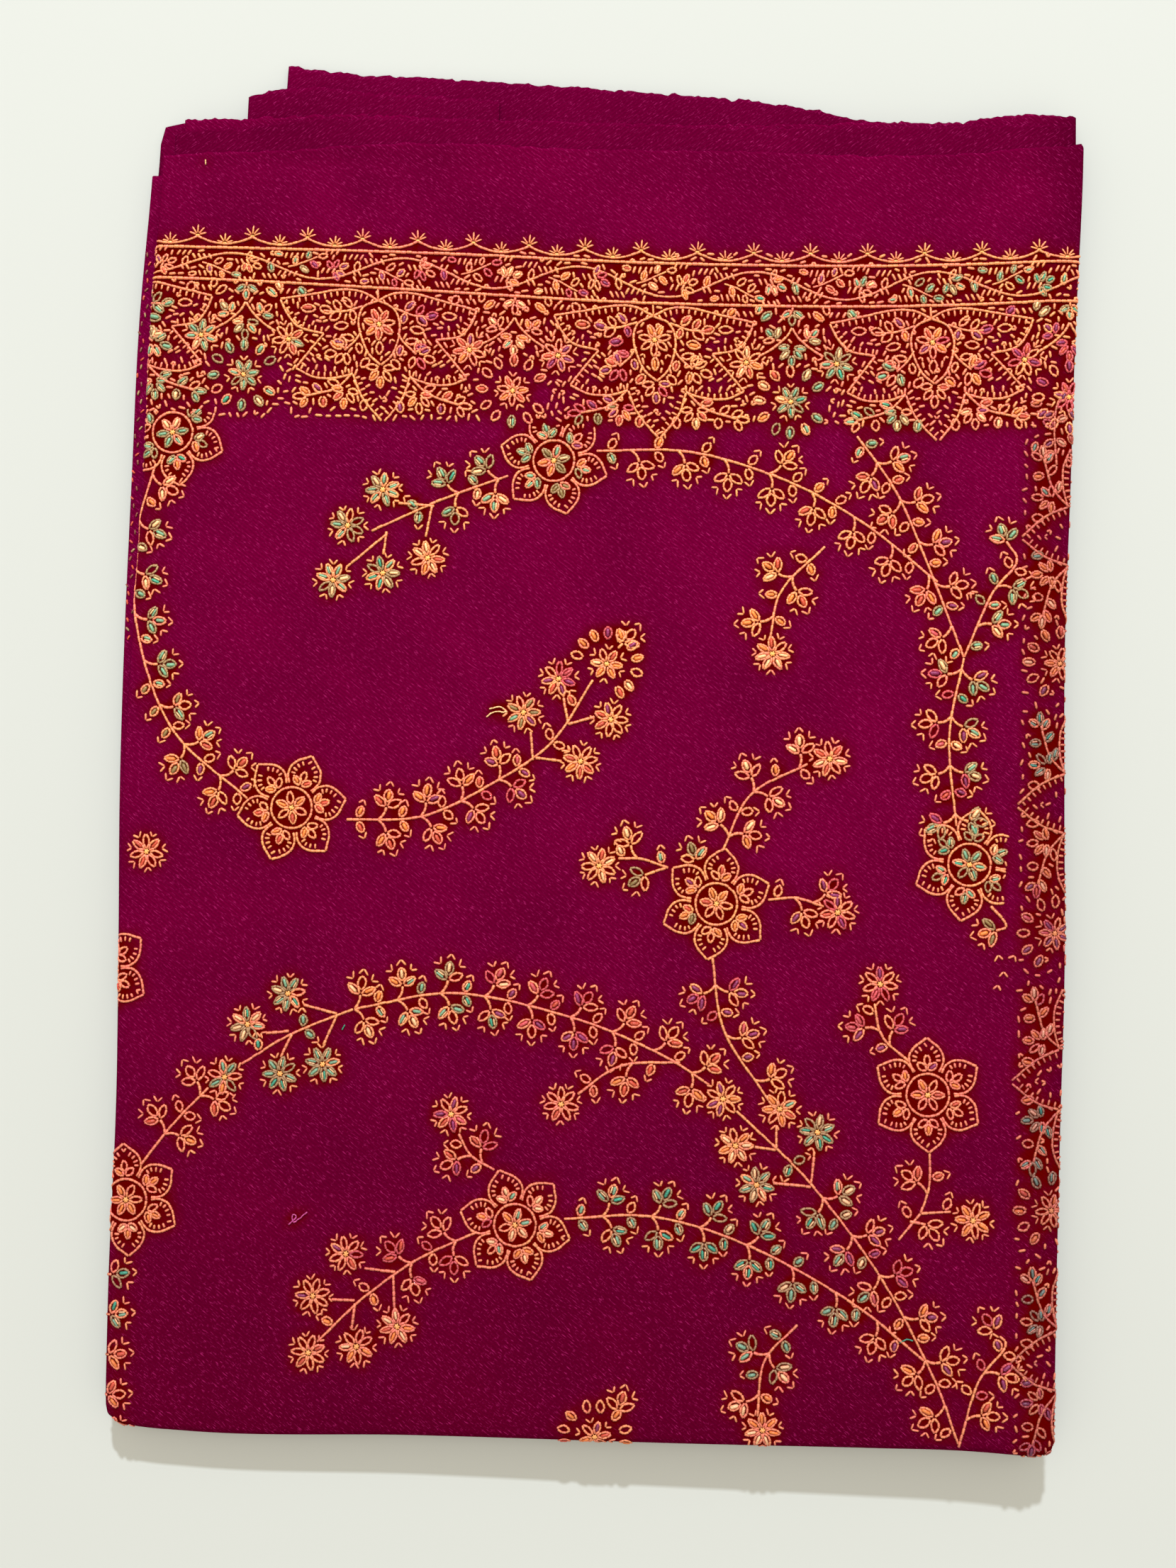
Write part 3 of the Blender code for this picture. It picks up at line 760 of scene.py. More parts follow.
class Pen:
    """Draws stitches on a plane of its own, which `lay` carries onto the flat cloth."""

    def __init__(self, piece, lay=None):
        self.rows = needlework.setdefault(piece, [])
        self.lay = lay
        self.limits = (1000.0, 1000.0)
        self.tone = np.ones(3)

    def add(self, points, width, thread, lift=0.0):
        """Stitches from (count, 4, 2) points: tip, two points of the body, tip."""
        points = np.asarray(points, dtype=float).reshape(-1, 4, 2)
        if self.lay:
            points = self.lay(points.reshape(-1, 2)).reshape(-1, 4, 2)
        points = points[(points.mean(axis=1) < self.limits).all(axis=1)]
        count = len(points)
        colours = outline_colours(points.mean(axis=1)) if thread == "line" else THREADS[thread]
        # painted shade towards the bottom of the pile
        low = np.interp(points.mean(axis=1)[:, 1], (60.0, 300.0), (1.0, 0.0))[:, None]
        colours = np.broadcast_to(colours, (count, 3)) * self.tone * (1.0 - low * THREAD_PAINTED_LOW_SHADE)
        colours = colours * rng.uniform(0.88, 1.12, (count, 1))
        widths = width * rng.uniform(0.88, 1.12, count)
        self.rows.append((points, widths, np.full(count, lift), colours))

    def add_flat(self, start, end, width):
        """A stitch given where it lies on the flat cloth."""
        points = np.asarray(start) + (np.asarray(end) - np.asarray(start)) * STITCH_SHARES
        colours = outline_colours(points.mean(axis=0)[None, :]) * self.tone
        self.rows.append((points[None], np.array([width]), np.zeros(1), colours))

    def line(self, path, width=LINE_THICK, thread="line", length=STITCH_LENGTH, lift=0.0):
        """A line of stem stitch: each stitch overlaps the one before it."""
        path = np.asarray(path, dtype=float)
        run = measured(path)
        count = max(1, int(round(run[-1] / length)))
        places = (np.arange(count)[:, None] + np.array([-0.22, 0.12, 0.88, 1.22])) / count
        points = points_at(path, run, np.clip(places, 0.0, 1.0) * run[-1])
        points = points + rng.normal(0.0, 0.045, (count, 1, 2))
        self.add(points, width, thread, lift)

    def straight(self, start, end, width=LINE_THICK, thread="line", lift=0.0):
        start = np.asarray(start, dtype=float)
        end = np.asarray(end, dtype=float)
        self.add(start + (end - start) * STITCH_SHARES, width, thread, lift)

    def stroke(self, x, y, angle, length=2.9, width=1.05):
        self.straight((x, y), polar(x, y, angle, length), width)

    def stalk(self, *points):
        self.line(curve(points), 1.1)

    def fill_at(self, x, y):
        """Which threads outline and fill a leaf here; None leaves it open."""
        at = np.array([[x, y]], dtype=float)
        if self.lay:
            at = self.lay(at)
        near = np.hypot(*(fill_spots - at[0] - rng.normal(0.0, 4.0, 2)).T)
        fill = spot_fills[int(near.argmin())]
        tinted = rng.uniform() < (0.7 if fill in ("mint", "teal") else 0.4)
        outline = {"magenta": "rose", "mint": "moss", "teal": "moss", "olive": "moss"}.get(fill, "line")
        outline = outline if tinted else "line"
        draw = rng.uniform()
        for thread, share in FILLS[fill]:
            if draw < share:
                return outline, thread
            draw -= share
        return outline, None

    def loop(self, x, y, angle, length=5.4, width=3.9):
        """A leaf or petal from its base: a pointed outline, often with satin stitches in it."""
        inner_width = width - LINE_THICK
        s = 0.5 - 0.5 * np.cos(np.linspace(0.0, math.pi, 8))
        half = 0.5 * inner_width * np.sin(math.pi * s**0.95) ** 0.75
        along = 0.4 * LINE_THICK + s * (length - 0.8 * LINE_THICK)
        local = np.column_stack([np.concatenate([along, along[::-1]]), np.concatenate([half, -half[::-1]])])
        local = local + rng.normal(0.0, 0.07, local.shape)
        cos, sin = math.cos(angle), math.sin(angle)
        turn = np.array([[cos, sin], [-sin, cos]])
        outline, thread = self.fill_at(x, y)
        self.line(local @ turn + (x, y), LINE_THICK, outline, 0.33 * length)
        if thread is None:
            return
        two_tone = thread in ("mint", "teal") and rng.uniform() < 0.55
        side = rng.choice((-0.17, 0.17)) if two_tone else rng.uniform(-0.1, 0.1)
        ends = np.array([(0.22, side), (0.86, 0.7 * side)])
        ends = ends * (length, inner_width) @ turn + (x, y) + rng.normal(0.0, 0.08, (2, 2))
        self.straight(ends[0], ends[1], (0.28 if two_tone else 0.36) * width, thread, 0.04)
        if two_tone:
            ends = np.array([(0.28, -1.1 * side), (0.8, -0.8 * side)]) * (length, inner_width)
            self.straight(*(ends @ turn + (x, y)), 0.17 * width, "cream", 0.08)

    def dart(self, x, y, angle, size=2.8, outward=True):
        """Two stitches that meet in a point: a roof over a leaf's tip, or a V in a notch."""
        back = math.pi if outward else 0.0
        for side in (-0.68, 0.68):
            self.straight(polar(x, y, angle + back + side, size * rng.uniform(0.85, 1.15)), (x, y), 0.85)

    def knot(self, x, y, size):
        """A dot where petals meet, in gold."""
        for k in range(3):
            angle = k * math.pi / 3 + rng.uniform(0.0, 0.4)
            self.straight(polar(x, y, angle, size), polar(x, y, angle, -size), 0.8, "gold", 0.18)

    def ticks(self, path, side, length, spacing, inset, start):
        """Short strokes off one side of a path."""
        path = np.asarray(path, dtype=float)
        places = np.arange(start, measured(path)[-1] - 0.4 * start, spacing)
        for (x, y), angle in zip(*along_path(path, places)):
            out = angle + side * 0.5 * math.pi
            far = length * rng.uniform(0.85, 1.12)
            self.straight(polar(x, y, out, inset), polar(x, y, out, inset + far), 0.92)

    def bud(self, x, y, angle, size=1.0, darts=True, leaves=3):
        """Leaves spread from a stalk's end; beyond them a roof of two stitches and two Vs."""
        for turn, inset, length, width in BUD_LEAVES[leaves]:
            turn = turn * rng.uniform(0.93, 1.07)
            length = length * size * rng.uniform(0.95, 1.05)
            self.loop(*polar(x, y, angle + 0.7 * turn, inset * size), angle + turn, length, width * size)
        if darts:
            self.dart(*polar(x, y, angle, 9.9 * size), angle)
            for turn in (-0.55, 0.55):
                self.dart(*polar(x, y, angle + turn, 6.6 * size), angle + 1.5 * turn, 2.8, False)

    def flower(self, x, y, angle=0.0, petals=7, size=1.0, darts=True):
        """A small flower: a ring of petals with arrowheads between them."""
        step = 2 * math.pi / petals
        for k in range(petals):
            out = angle + k * step + rng.normal(0.0, 0.05)
            self.loop(*polar(x, y, out, 0.8 * size), out, 6.3 * size, min(3.7, 24.0 / petals) * size)
            if darts:
                notch = out + 0.5 * step
                self.dart(*polar(x, y, notch, 5.9 * size), notch, 2.6, False)
        self.knot(x, y, 1.3 * size)

    def big_flower(self, x, y, angle):
        """Six pointed petals round a ringed flower; each holds a bud and a fringe of ticks."""
        turns = np.linspace(0.0, 2 * math.pi, 40)
        self.line(np.column_stack([x + 7.8 * np.cos(turns), y + 7.8 * np.sin(turns)]), 1.0, length=1.9)
        outs = [angle + k * math.pi / 3 for k in range(6)]
        for out in outs:
            self.loop(*polar(x, y, out + 0.5, 0.8), out + 0.5, 5.9, 3.5)
        self.knot(x, y, 1.3)
        side_line = np.array([(8.4, 4.3), (11.0, 6.0), (14.4, 6.2), (17.4, 4.5), (19.4, 2.0), (21.0, 0.0)])
        for out in outs:
            turn = np.array([[math.cos(out), math.sin(out)], [-math.sin(out), math.cos(out)]])
            for side in (-1, 1):
                wide = rng.uniform(0.95, 1.05)
                edge = curve(side_line * (1.0, side * wide)) @ turn + (x, y)
                self.line(edge, 1.0, length=1.9)
                self.ticks(edge, -side, 2.1, 2.35, 0.8, 4.6)
            for turn_by in (-0.92, 0.92, 0.0):
                base = polar(x, y, out, 8.9 if turn_by else 10.1)
                self.loop(*base, out + turn_by, 5.0, 3.4)

    def rosette(self, x, y, angle, petals, ring_leaves, skip=()):
        """A flower in a ring of loose leaves that point away from it."""
        self.flower(x, y, angle, petals, 0.92)
        for k in range(ring_leaves):
            if k in skip:
                continue
            out = angle + 2 * math.pi * k / ring_leaves
            self.loop(*polar(x, y, out, 9.0), out + rng.normal(0.0, 0.1), 5.6, 3.9)

    def side_bud(self, x, y, angle, side):
        """A bud on a short stalk that bends away from its stem."""
        middle = polar(x, y, angle + side * 0.80, 0.55 * BUD_STALK)
        end = polar(x, y, angle + side * 1.02, BUD_STALK)
        self.stalk((x, y), middle, end)
        self.bud(*end, angle + side * rng.uniform(1.15, 1.45))

    def side_leaf(self, x, y, angle, side):
        out = angle + side * rng.uniform(1.0, 1.2)
        self.loop(*polar(x, y, out, 0.6), out, 5.2, 3.9)
        self.dart(*polar(x, y, out + 0.05 * side, 7.9), out)

    def vine(self, points, pattern, first):
        """A stem with buds and leaves at even places, one letter of the pattern for each.

        B two buds, L or R one; P two leaves, l or r one; X bud and leaf, Y leaf and bud;
        a dot for none."""
        path = curve(points)
        self.line(path, STEM_THICK, length=2.5)
        total = measured(path)[-1]
        places = (np.arange(len(pattern)) + first) * total / len(pattern)
        at, angles = along_path(path, np.minimum(places, total))
        for mark, (x, y), angle in zip(pattern, at, angles):
            for side, bud_marks, leaf_marks in ((1, "BLX", "PlY"), (-1, "BRY", "PrX")):
                if mark in bud_marks:
                    self.side_bud(x, y, angle, side)
                elif mark in leaf_marks:
                    self.side_leaf(x, y, angle, side)


# The border, drawn in u along it and d below its inner line, and laid along two sides
BAND_HEIGHT = 14.0
BAND_START = -183.0
BAND_END = 184.0
SCALLOP = 21.4
VINE_PERIOD = 67.0
DOWN = 0.5 * math.pi
LINE_ONE = np.array([(-190.0, 449.0), (-60.0, 446.5), (20.0, 443.5), (125.0, 443.5), (190.0, 446.5)])
LINE_TWO = np.array([
    (-190.0, 437.0), (-140.0, 435.5), (-85.0, 433.0), (20.0, 428.0), (125.0, 428.0), (190.0, 431.5),
])
MEDALLION_LEAN = 0.07
MEDALLION_TOP = 5.0
PENDANT_TOP = 30
HALF_ARCS = (
    # points (u, d) of half a medallion's frame, and a point on the side where its ticks lie
    (((0, 5), (6, 2), (14, 1.5), (26, 4), (38, 6.5)), (14, 12)),
    (((38, 6.5), (35.5, 12), (31, 17), (21.5, 19)), (20, 12)),
    (((21.5, 19), (27, 25.5), (33, 33)), (16, 26)),
    (((33, 33), (26, 36), (18, 36), (11, 34)), (20, 27)),
    (((11, 34), (7.5, 43), (0.5, 51.5)), (2, 38)),
)
PEAR = ((0, 5), (6, 8), (8, 15), (5, 25), (0, 30))
HALF_LEAVES = (
    # u, d, degrees, length, width: loose leaves of half a medallion
    (28, 5, 50, 5, 4),
    (10, 8.5, 45, 6, 3.5),
    (10.5, 9, -105, 5, 3.5),
    (14.5, 10, -40, 6, 4),
    (14.5, 10, 55, 5.5, 3.5),
    (17.5, 10.5, 15, 6, 4),
    (24, 9.5, 0, 6.5, 4),
    (11.5, 15, -10, 6.5, 4),
    (9.5, 20.5, 10, 5.5, 3.5),
    (8.5, 21.5, -105, 5, 3.5),
    (13.5, 22.5, 10, 5, 3.5),
    (4, 27.5, -45, 5.5, 4),
    (16, 38.5, 15, 5.5, 3.5),
    (23, 42, 40, 5.5, 3.5),
    (27.5, 43, 30, 5.5, 3.5),
    (29, 43.5, -5, 6, 3.5),
    (29, 44, -60, 5, 3.5),
    (23, 43, -95, 5, 4),
    (6.5, 43, -80, 5.5, 4),
)
HALF_BUDS = (
    # u, d, degrees, size, leaves
    (13, 25, -15, 1.1, 5),
    (14, 40, -85, 1.0, 5),
)
HALF_STROKES = (
    # u, d, degrees, count, step along u
    (31.5, 2, -60, 3, 2.5),
    (20.5, 12.5, -15, 1, 2.5),
    (12, 6, 5, 1, 2.5),
    (22, 14.5, 10, 1, 2.5),
    (14, 18.5, -60, 2, 2.5),
    (5, 24.5, -70, 1, 2.5),
    (11, 31, -85, 2, 2.5),
    (19.5, 29.5, 30, 2, 3),
    (9.5, 38.5, 60, 1, 2.5),
    (31, 38.5, 20, 1, 2.5),
)
GAP_ARCH = ((0.0, 8.2), (2.2, 11.8), (7.0, 16.2), (12.0, 19.2))
GAP_LEAVES = (
    # u, d, degrees, length, width from the middle between two medallions
    (7.5, 2, -40, 6, 3.5),
    (13.5, 3.5, 110, 4.5, 3.5),
)
GAP_STROKES = (
    # u, d, degrees
    (2.6, 5.4, 40), (13.6, 12.4, -70), (15.6, 9.4, -62), (11.8, 14.4, -60), (18.4, 13.6, -50),
    (8.6, 20.4, -70), (10.8, 24.4, 80), (16.4, 31.2, -20), (18.8, 34.0, 60), (17.6, 38.8, 80),
)
ROSETTE_DEPTH = 36.6
SPRIG_LEAVES = (
    # x and y from the middle of a bay, degrees, length, width
    (-9.4, 0.2, 78, 4.6, 3.1),
    (-7.4, 0.2, -34, 4.8, 3.1),
    (-3.4, 2.4, -40, 4.6, 3.0),
    (-4.6, 3.0, 70, 3.8, 2.8),
    (-0.6, 4.2, 8, 4.6, 3.0),
    (14.4, -1.6, 76, 5.0, 3.2),
    (-17.6, 5.2, -10, 4.2, 2.8),
)
SPRIG_STROKES = (
    # x, y, degrees, count
    (1.0, -2.6, 62, 3),
    (-13.2, 3.0, 70, 4),
    (11.6, 3.2, 58, 3),
    (2.4, 5.0, 62, 3),
    (17.6, 4.4, -60, 4),
    (-20.4, 0.6, 60, 2),
)
SIDE_LINE = 209.6
RECENT_PLACES = 160


def end_border_lay(points):
    """The end border lies below two lines that sag a little; d runs down the panel."""
    u = points[:, 0]
    d = points[:, 1]
    one = smooth_row(LINE_ONE, 1, u)
    two = smooth_row(LINE_TWO, 1, u)
    share = np.clip(-d / BAND_HEIGHT, 0.0, 1.0)
    v = np.where(d > 0, two - d, two + (one - two) * share + np.clip(-d - BAND_HEIGHT, 0.0, None))
    return np.column_stack([u, v])


def side_border_lay(points):
    """The same border turned along the right edge; its d runs left from beyond the fold."""
    u = points[:, 0]
    sway = 0.7 * np.sin(u / 60.0 + 0.6)
    return np.column_stack([SIDE_LINE - points[:, 1] + sway, -u])


def towards(path, u, d):
    """Which side of a path a point lies on: 1 for the left, -1 for the right."""
    path = np.asarray(path, dtype=float)
    k = int(np.hypot(path[:-1, 0] - u, path[:-1, 1] - d).argmin())
    step = path[k + 1] - path[k]
    away = np.array([u, d]) - path[k]
    return 1 if step[0] * away[1] - step[1] * away[0] > 0 else -1


def mirrored(degrees, side):
    """A direction counted upwards, as it is drawn on the right (1) or left (-1) half."""
    angle = math.radians(degrees)
    return math.atan2(-math.sin(angle), side * math.cos(angle))


def cartouche(pen, centre, upper=True):
    """A heart-shaped frame with a pear in it and a pointed pendant below, or the pendant alone."""

    def at(points, side=1):
        u, d = np.array(points, dtype=float).T
        return np.column_stack([centre + side * u + MEDALLION_LEAN * (d - MEDALLION_TOP), d])

    def spot(u, d, side=1):
        return at([(u, d)], side)[0]

    def shown(rows):
        return [row for row in rows if upper or row[1] >= PENDANT_TOP]

    if upper:
        pen.straight(spot(0, 0), spot(0, 5), 0.9)
    for side in (-1, 1):
        for arc, inside in HALF_ARCS if upper else HALF_ARCS[2:]:
            path = curve(at(arc, side))
            pen.line(path, 1.0)
            pen.ticks(path, towards(path, *spot(*inside, side)), 2.4, 2.5, 0.3, 1.9)
        for u, d, degrees, length, width in shown(HALF_LEAVES):
            pen.loop(*spot(u, d, side), mirrored(degrees, side), length, width)
        for u, d, degrees, size, leaves in shown(HALF_BUDS):
            pen.bud(*spot(u, d, side), mirrored(degrees, side), size, False, leaves)
        for u, d, degrees, count, step in shown(HALF_STROKES):
            for k in range(count):
                pen.stroke(*spot(u + k * step, d, side), mirrored(degrees, side))
        if upper:
            pen.line(curve(at(PEAR, side)), 1.0)
            pen.line(curve(at([(6, 7.5), (14, 10), (21.5, 10)], side)), 0.95)
            pen.line(curve(at([(7, 17), (9.5, 21), (14, 25)], side)), 0.95)
        pen.line(curve(at([(11, 33.5), (18, 40), (29.5, 43.5)], side)), 1.0)
    if upper:
        pen.flower(*spot(0, 14.2), DOWN, 7, 0.95, False)
        for u, d, degrees in ((-4.3, 19.6, 115), (4.3, 19.6, 65)):
            pen.dart(*spot(u, d), math.radians(degrees), 1.9, False)
        pen.loop(*spot(0, 20.4), DOWN, 6.0, 3.7)
        pen.bud(*spot(0, 30.6), DOWN, 1.05, False, 5)
    pen.dart(*spot(0, 43.2), DOWN, 1.9)


def between(pen, centre, upper=True):
    """What fills the space between two medallions: an arch, two stars and a rosette."""

    def at(u, d, side=1):
        return (centre + side * u, d)

    if upper:
        pen.straight(at(0.0, 0.2), at(0.0, 2.2), 1.0)
        pen.bud(*at(0.0, 1.6), DOWN, 0.82, False)
        for side in (-1, 1):
            pen.line(curve([at(u, d, side) for u, d in GAP_ARCH]), 1.0)
            pen.straight(at(3.6, 13.4, side), at(6.2, 13.0, side), 1.0)
            pen.bud(*at(6.0, 13.0, side), -DOWN + side * 0.75, 0.8, False)
            pen.flower(*at(17.0, 22.0, side), 0.3, 7, 0.96)
            for u, d, degrees, length, width in GAP_LEAVES:
                pen.loop(*at(u, d, side), mirrored(degrees, side), length, width)
            for u, d, degrees in GAP_STROKES:
                pen.stroke(*at(u, d, side), mirrored(degrees, side))
        pen.bud(*at(0.0, 15.4), DOWN, 0.98, False, 5)
    pen.rosette(*at(0.0, ROSETTE_DEPTH), DOWN, 7, 12, (9,))


def palmette(pen, u, d, size):
    """Five short rays that fan upwards."""
    for degrees, share in ((-70, 0.85), (-36, 0.95), (0, 1.0), (36, 0.95), (70, 0.85)):
        angle = math.radians(-90 + degrees + rng.uniform(-5, 5))
        pen.straight(polar(u, d, angle, 0.5), polar(u, d, angle, size * share), 0.72)
    pen.straight((u - 0.9, d + 0.1), (u + 0.9, d + 0.1), 0.8, "gold", 0.1)


def scallops(pen, shift):
    """Garland of hanging arcs over the outer line, with palmettes at its ends and middles."""
    places = np.linspace(0.0, 1.0, 14)
    sag = 2.9 * np.sin(math.pi * places) ** 0.9
    k = math.floor((BAND_START - shift) / SCALLOP)
    while shift + k * SCALLOP < BAND_END:
        left = shift + k * SCALLOP
        pen.line(np.column_stack([left + places * SCALLOP, -BAND_HEIGHT - 4.4 + sag]), 0.95)
        palmette(pen, left, -BAND_HEIGHT - 4.8, 4.3)
        palmette(pen, left + 0.5 * SCALLOP, -BAND_HEIGHT - 1.9, 4.0)
        k += 1


def vine_band(pen, shift):
    """Waving stem between the two lines, each bay filled with a sprig and slanted strokes."""
    middle = -0.5 * BAND_HEIGHT
    swing = 4.7
    u = np.arange(BAND_START, BAND_END, 0.8)
    pen.line(np.column_stack([u, middle - swing * np.cos(2 * math.pi * (u - shift) / VINE_PERIOD)]), 0.95)
    half = 0.5 * VINE_PERIOD
    k = math.floor((BAND_START - shift) / half)
    while shift + k * half < BAND_END:
        bay = shift + k * half
        up = 1 if k % 2 == 0 else -1

        def at(x, y):
            return (bay + x, middle + up * y)

        def turned(degrees):
            return math.atan2(up * math.sin(math.radians(degrees)), math.cos(math.radians(degrees)))

        pen.line(curve([at(-12.0, -0.4), at(-8.4, 0.6), at(-4.4, 2.4), at(-0.4, 4.2)]), 0.8)
        for x, y, degrees, length, width in SPRIG_LEAVES:
            pen.loop(*at(x, y), turned(degrees), length, width)
        pen.bud(*at(5.2, -1.4), turned(24), 0.86, False, 5)
        for x, y, degrees, count in SPRIG_STROKES:
            for stroke in range(count):
                pen.stroke(*at(x + 2.1 * stroke, y), turned(degrees), 3.0, 1.0)
        k += 1


def open_space(pen, places, clear, reach, length, spacing):
    """Short strokes and a few arrowheads in what is still bare, parallel to what lies near."""
    laid = np.concatenate([row[0] for row in pen.rows])
    centres = laid[:, 1:3].reshape(-1, 2)
    ways = np.repeat(np.arctan2(*(laid[:, 2] - laid[:, 1]).T[::-1]), 2)
    tree = kdtree.KDTree(len(centres))
    for k, (x, y) in enumerate(centres):
        tree.insert((x, y, 0.0), k)
    tree.balance()
    taken = []
    for x, y in places:
        _, k, distance = tree.find((x, y, 0.0))
        if distance < clear or distance > reach:
            continue
        if any(math.hypot(x - p, y - q) < spacing for p, q in taken[-RECENT_PLACES:]):
            continue
        taken.append((x, y))
        angle = ways[k] + rng.normal(0.0, 0.25)
        if rng.uniform() < 0.16:
            out = math.atan2(y - centres[k][1], x - centres[k][0])
            for side in (-0.5, 0.5):
                pen.add_flat(polar(x, y, out + math.pi + side, 2.0), (x, y), 1.0)
            continue
        far = 0.5 * length * rng.uniform(0.8, 1.15)
        pen.add_flat(polar(x, y, angle, -far), polar(x, y, angle, far), 1.05)


def jittered(first_x, last_x, first_v, last_v, step):
    """Places on an uneven grid, row by row."""
    xs, vs = np.meshgrid(np.arange(first_x, last_x, step), np.arange(first_v, last_v, step))
    places = np.column_stack([xs.ravel(), vs.ravel()])
    return places + rng.uniform(-0.45 * step, 0.45 * step, places.shape)


# End border across the top of the panel
CARTOUCHES = (-188.5, -86.0, 19.5, 124.0, 228.5)
GAPS = (-137.2, -33.4, 72.0, 176.0)
end_pen = Pen("embroidered_end_border", end_border_lay)
edge_line = np.arange(BAND_START, BAND_END, 1.0)
for depth in (-BAND_HEIGHT, 0.0):
    end_pen.line(np.column_stack([edge_line, np.full(len(edge_line), depth)]), 1.2)
scallops(end_pen, -157.0)
vine_band(end_pen, -143.0)
for centre in CARTOUCHES:
    cartouche(end_pen, centre)
for centre in GAPS:
    between(end_pen, centre)
bare = jittered(-182.0, 182.0, 383.0, 447.5, 0.9)
for x, v in end_border_lay(np.array([(centre, ROSETTE_DEPTH) for centre in GAPS])):
    bare = bare[np.hypot(bare[:, 0] - x, bare[:, 1] - v) > 14.2]
open_space(end_pen, bare, 1.45, 4.2, 3.0, 2.8)

# Side border: its outer half goes round the right fold, its pendants point left
SIDE_CARTOUCHES = (-343.5, -243.5, -142.0, -40.5, 61.0)
SIDE_GAPS = (-293.5, -193.5, -92.5, 9.0)
side_pen = Pen("embroidered_side_border", side_border_lay)
# painted shade: the side border's threads are darker along the right fold, which turns away from the light
side_pen.tone = np.array([0.63, 0.44, 0.62])
for centre in SIDE_CARTOUCHES:
    cartouche(side_pen, centre, upper=False)
for centre in SIDE_GAPS:
    between(side_pen, centre, upper=False)

# Corner where the two borders meet: a stem with leaves
corner_pen = Pen("embroidered_side_border")
# the same painted shade for the corner stem
corner_pen.tone = side_pen.tone
corner_pen.line(curve([(175.0, 398.0), (171.4, 391.0), (170.4, 382.0), (171.4, 368.0)]), 1.0)
for x, v, degrees in (
    (170.6, 388.0, 205.0), (170.2, 382.5, 150.0), (171.2, 385.0, 20.0), (170.4, 377.6, 215.0),
    (171.0, 378.0, -30.0), (170.8, 373.0, 200.0), (172.6, 392.0, 60.0), (166.0, 391.6, 190.0),
    (176.0, 390.0, -60.0), (176.6, 381.0, -80.0), (164.0, 377.0, 250.0), (176.4, 372.0, -95.0),
):
    corner_pen.loop(x, v, math.radians(degrees), 5.0, 3.5)
open_space(side_pen, jittered(160.0, 184.0, -4.0, 392.0, 0.9), 2.0, 4.4, 2.8, 4.0)

# The field: large flowers, and vines, each on a smooth curve through a few chosen points
flower_pen = Pen("embroidered_large_flowers")
upper_pen = Pen("embroidered_upper_vines")
lower_pen = Pen("embroidered_lower_vines")
SIDE_BORDER_START = 154.5
for x, v, degrees, border_foot in (
    (-164.0, 376.0, 40.0, 384.5),
    (-17.0, 367.0, 45.0, 380.5),
    (-113.0, 233.0, 10.0, 380.0),
    (48.0, 201.0, 22.0, 380.0),
    (141.0, 218.0, 22.0, 380.0),
    (127.0, 133.0, 32.0, 380.0),
    (-24.0, 80.0, 48.0, 380.0),
    (-171.0, 84.0, 35.0, 380.0),
    (-186.0, 170.0, 35.0, 380.0),
):
    flower_pen.limits = (SIDE_BORDER_START, border_foot)
    flower_pen.big_flower(x, v, math.radians(degrees))

UPPER_VINES = (
    # points of the stem, pattern of buds and leaves, where the first lies
    (((-170, 364), (-177, 335), (-175, 300), (-160, 262), (-130, 236)), "LlLlLlLlLPXPBPBP", 0.5),
    (((-92, 229), (-63, 231), (-37, 244), (-15, 260), (0, 284)), "PBPBPBPBP.P.l.", 0.5),
    (((-34, 361), (-58, 352), (-86, 339)), "BPB.P..", 0.5),
    (((-1, 371), (35, 371), (70, 361), (100, 345), (128, 323)), "PRPRPRPBPYPRrRrR", 0.5),
    (((97, 378), (112, 357), (124, 330), (138, 295)), "PBPBPXlLPRr", 0.5),
    (((138, 295), (133, 265), (136, 232)), "BPBPBPB", 0.5),
    (((138, 295), (148, 319), (157, 331), (153, 339)), "rRPYP.", 0.5),
    (((86, 336), (70, 319), (66, 301)), "PBrY.", 1.0),
    (((50, 221), (60, 242), (81, 254)), "BPBlX", 0.6),
    (((30, 214), (20, 217), (11, 217)), "r.Rr", 0.5),
    (((67, 203), (78, 204), (88, 201)), "lRL", 0.4),
)
for points, pattern, first in UPPER_VINES:
    upper_pen.vine(points, pattern, first)
UPPER_STALKS = (
    ((-22, 253), (-23, 264)),
    ((-21, 254), (-11, 253)),
    ((-9, 267), (-11, 277)),
    ((-9, 267), (1, 270)),
    ((-62, 349), (-76, 350)),
    ((-63, 349), (-65, 337)),
    ((-80, 339), (-81, 330)),
    ((-80, 338), (-95, 325)),
    ((29, 214), (21, 211)),
    ((9, 296), (11, 298)),
    ((149, 203), (155, 196), (151, 194)),
)
for stalk in UPPER_STALKS:
    upper_pen.stalk(*stalk)
UPPER_FLOWERS = (
    (-26, 271), (-4, 253), (-13, 284), (7, 269), (-82, 355), (-64, 329), (-95, 341), (-81, 323), (-100, 320),
    (67, 295), (89, 256), (4, 214), (93, 199),
)
for x, v in UPPER_FLOWERS:
    upper_pen.flower(x, v, rng.uniform(0.0, 1.0))
upper_pen.rosette(5.0, 290.0, math.radians(-66.0), 6, 14, (10, 11, 12, 13))
for x, v, degrees in (
    (11, 298, 50),
    (21, 211, 215),
    (40, 217, 110),
    (151, 194, 195),
    (153, 339, 110),
):
    upper_pen.bud(x, v, math.radians(degrees))
for x, v, degrees in ((152, 185, 100), (158, 185, 60), (154, 179, 90), (152, 174, 80)):
    upper_pen.dart(x, v, math.radians(degrees))

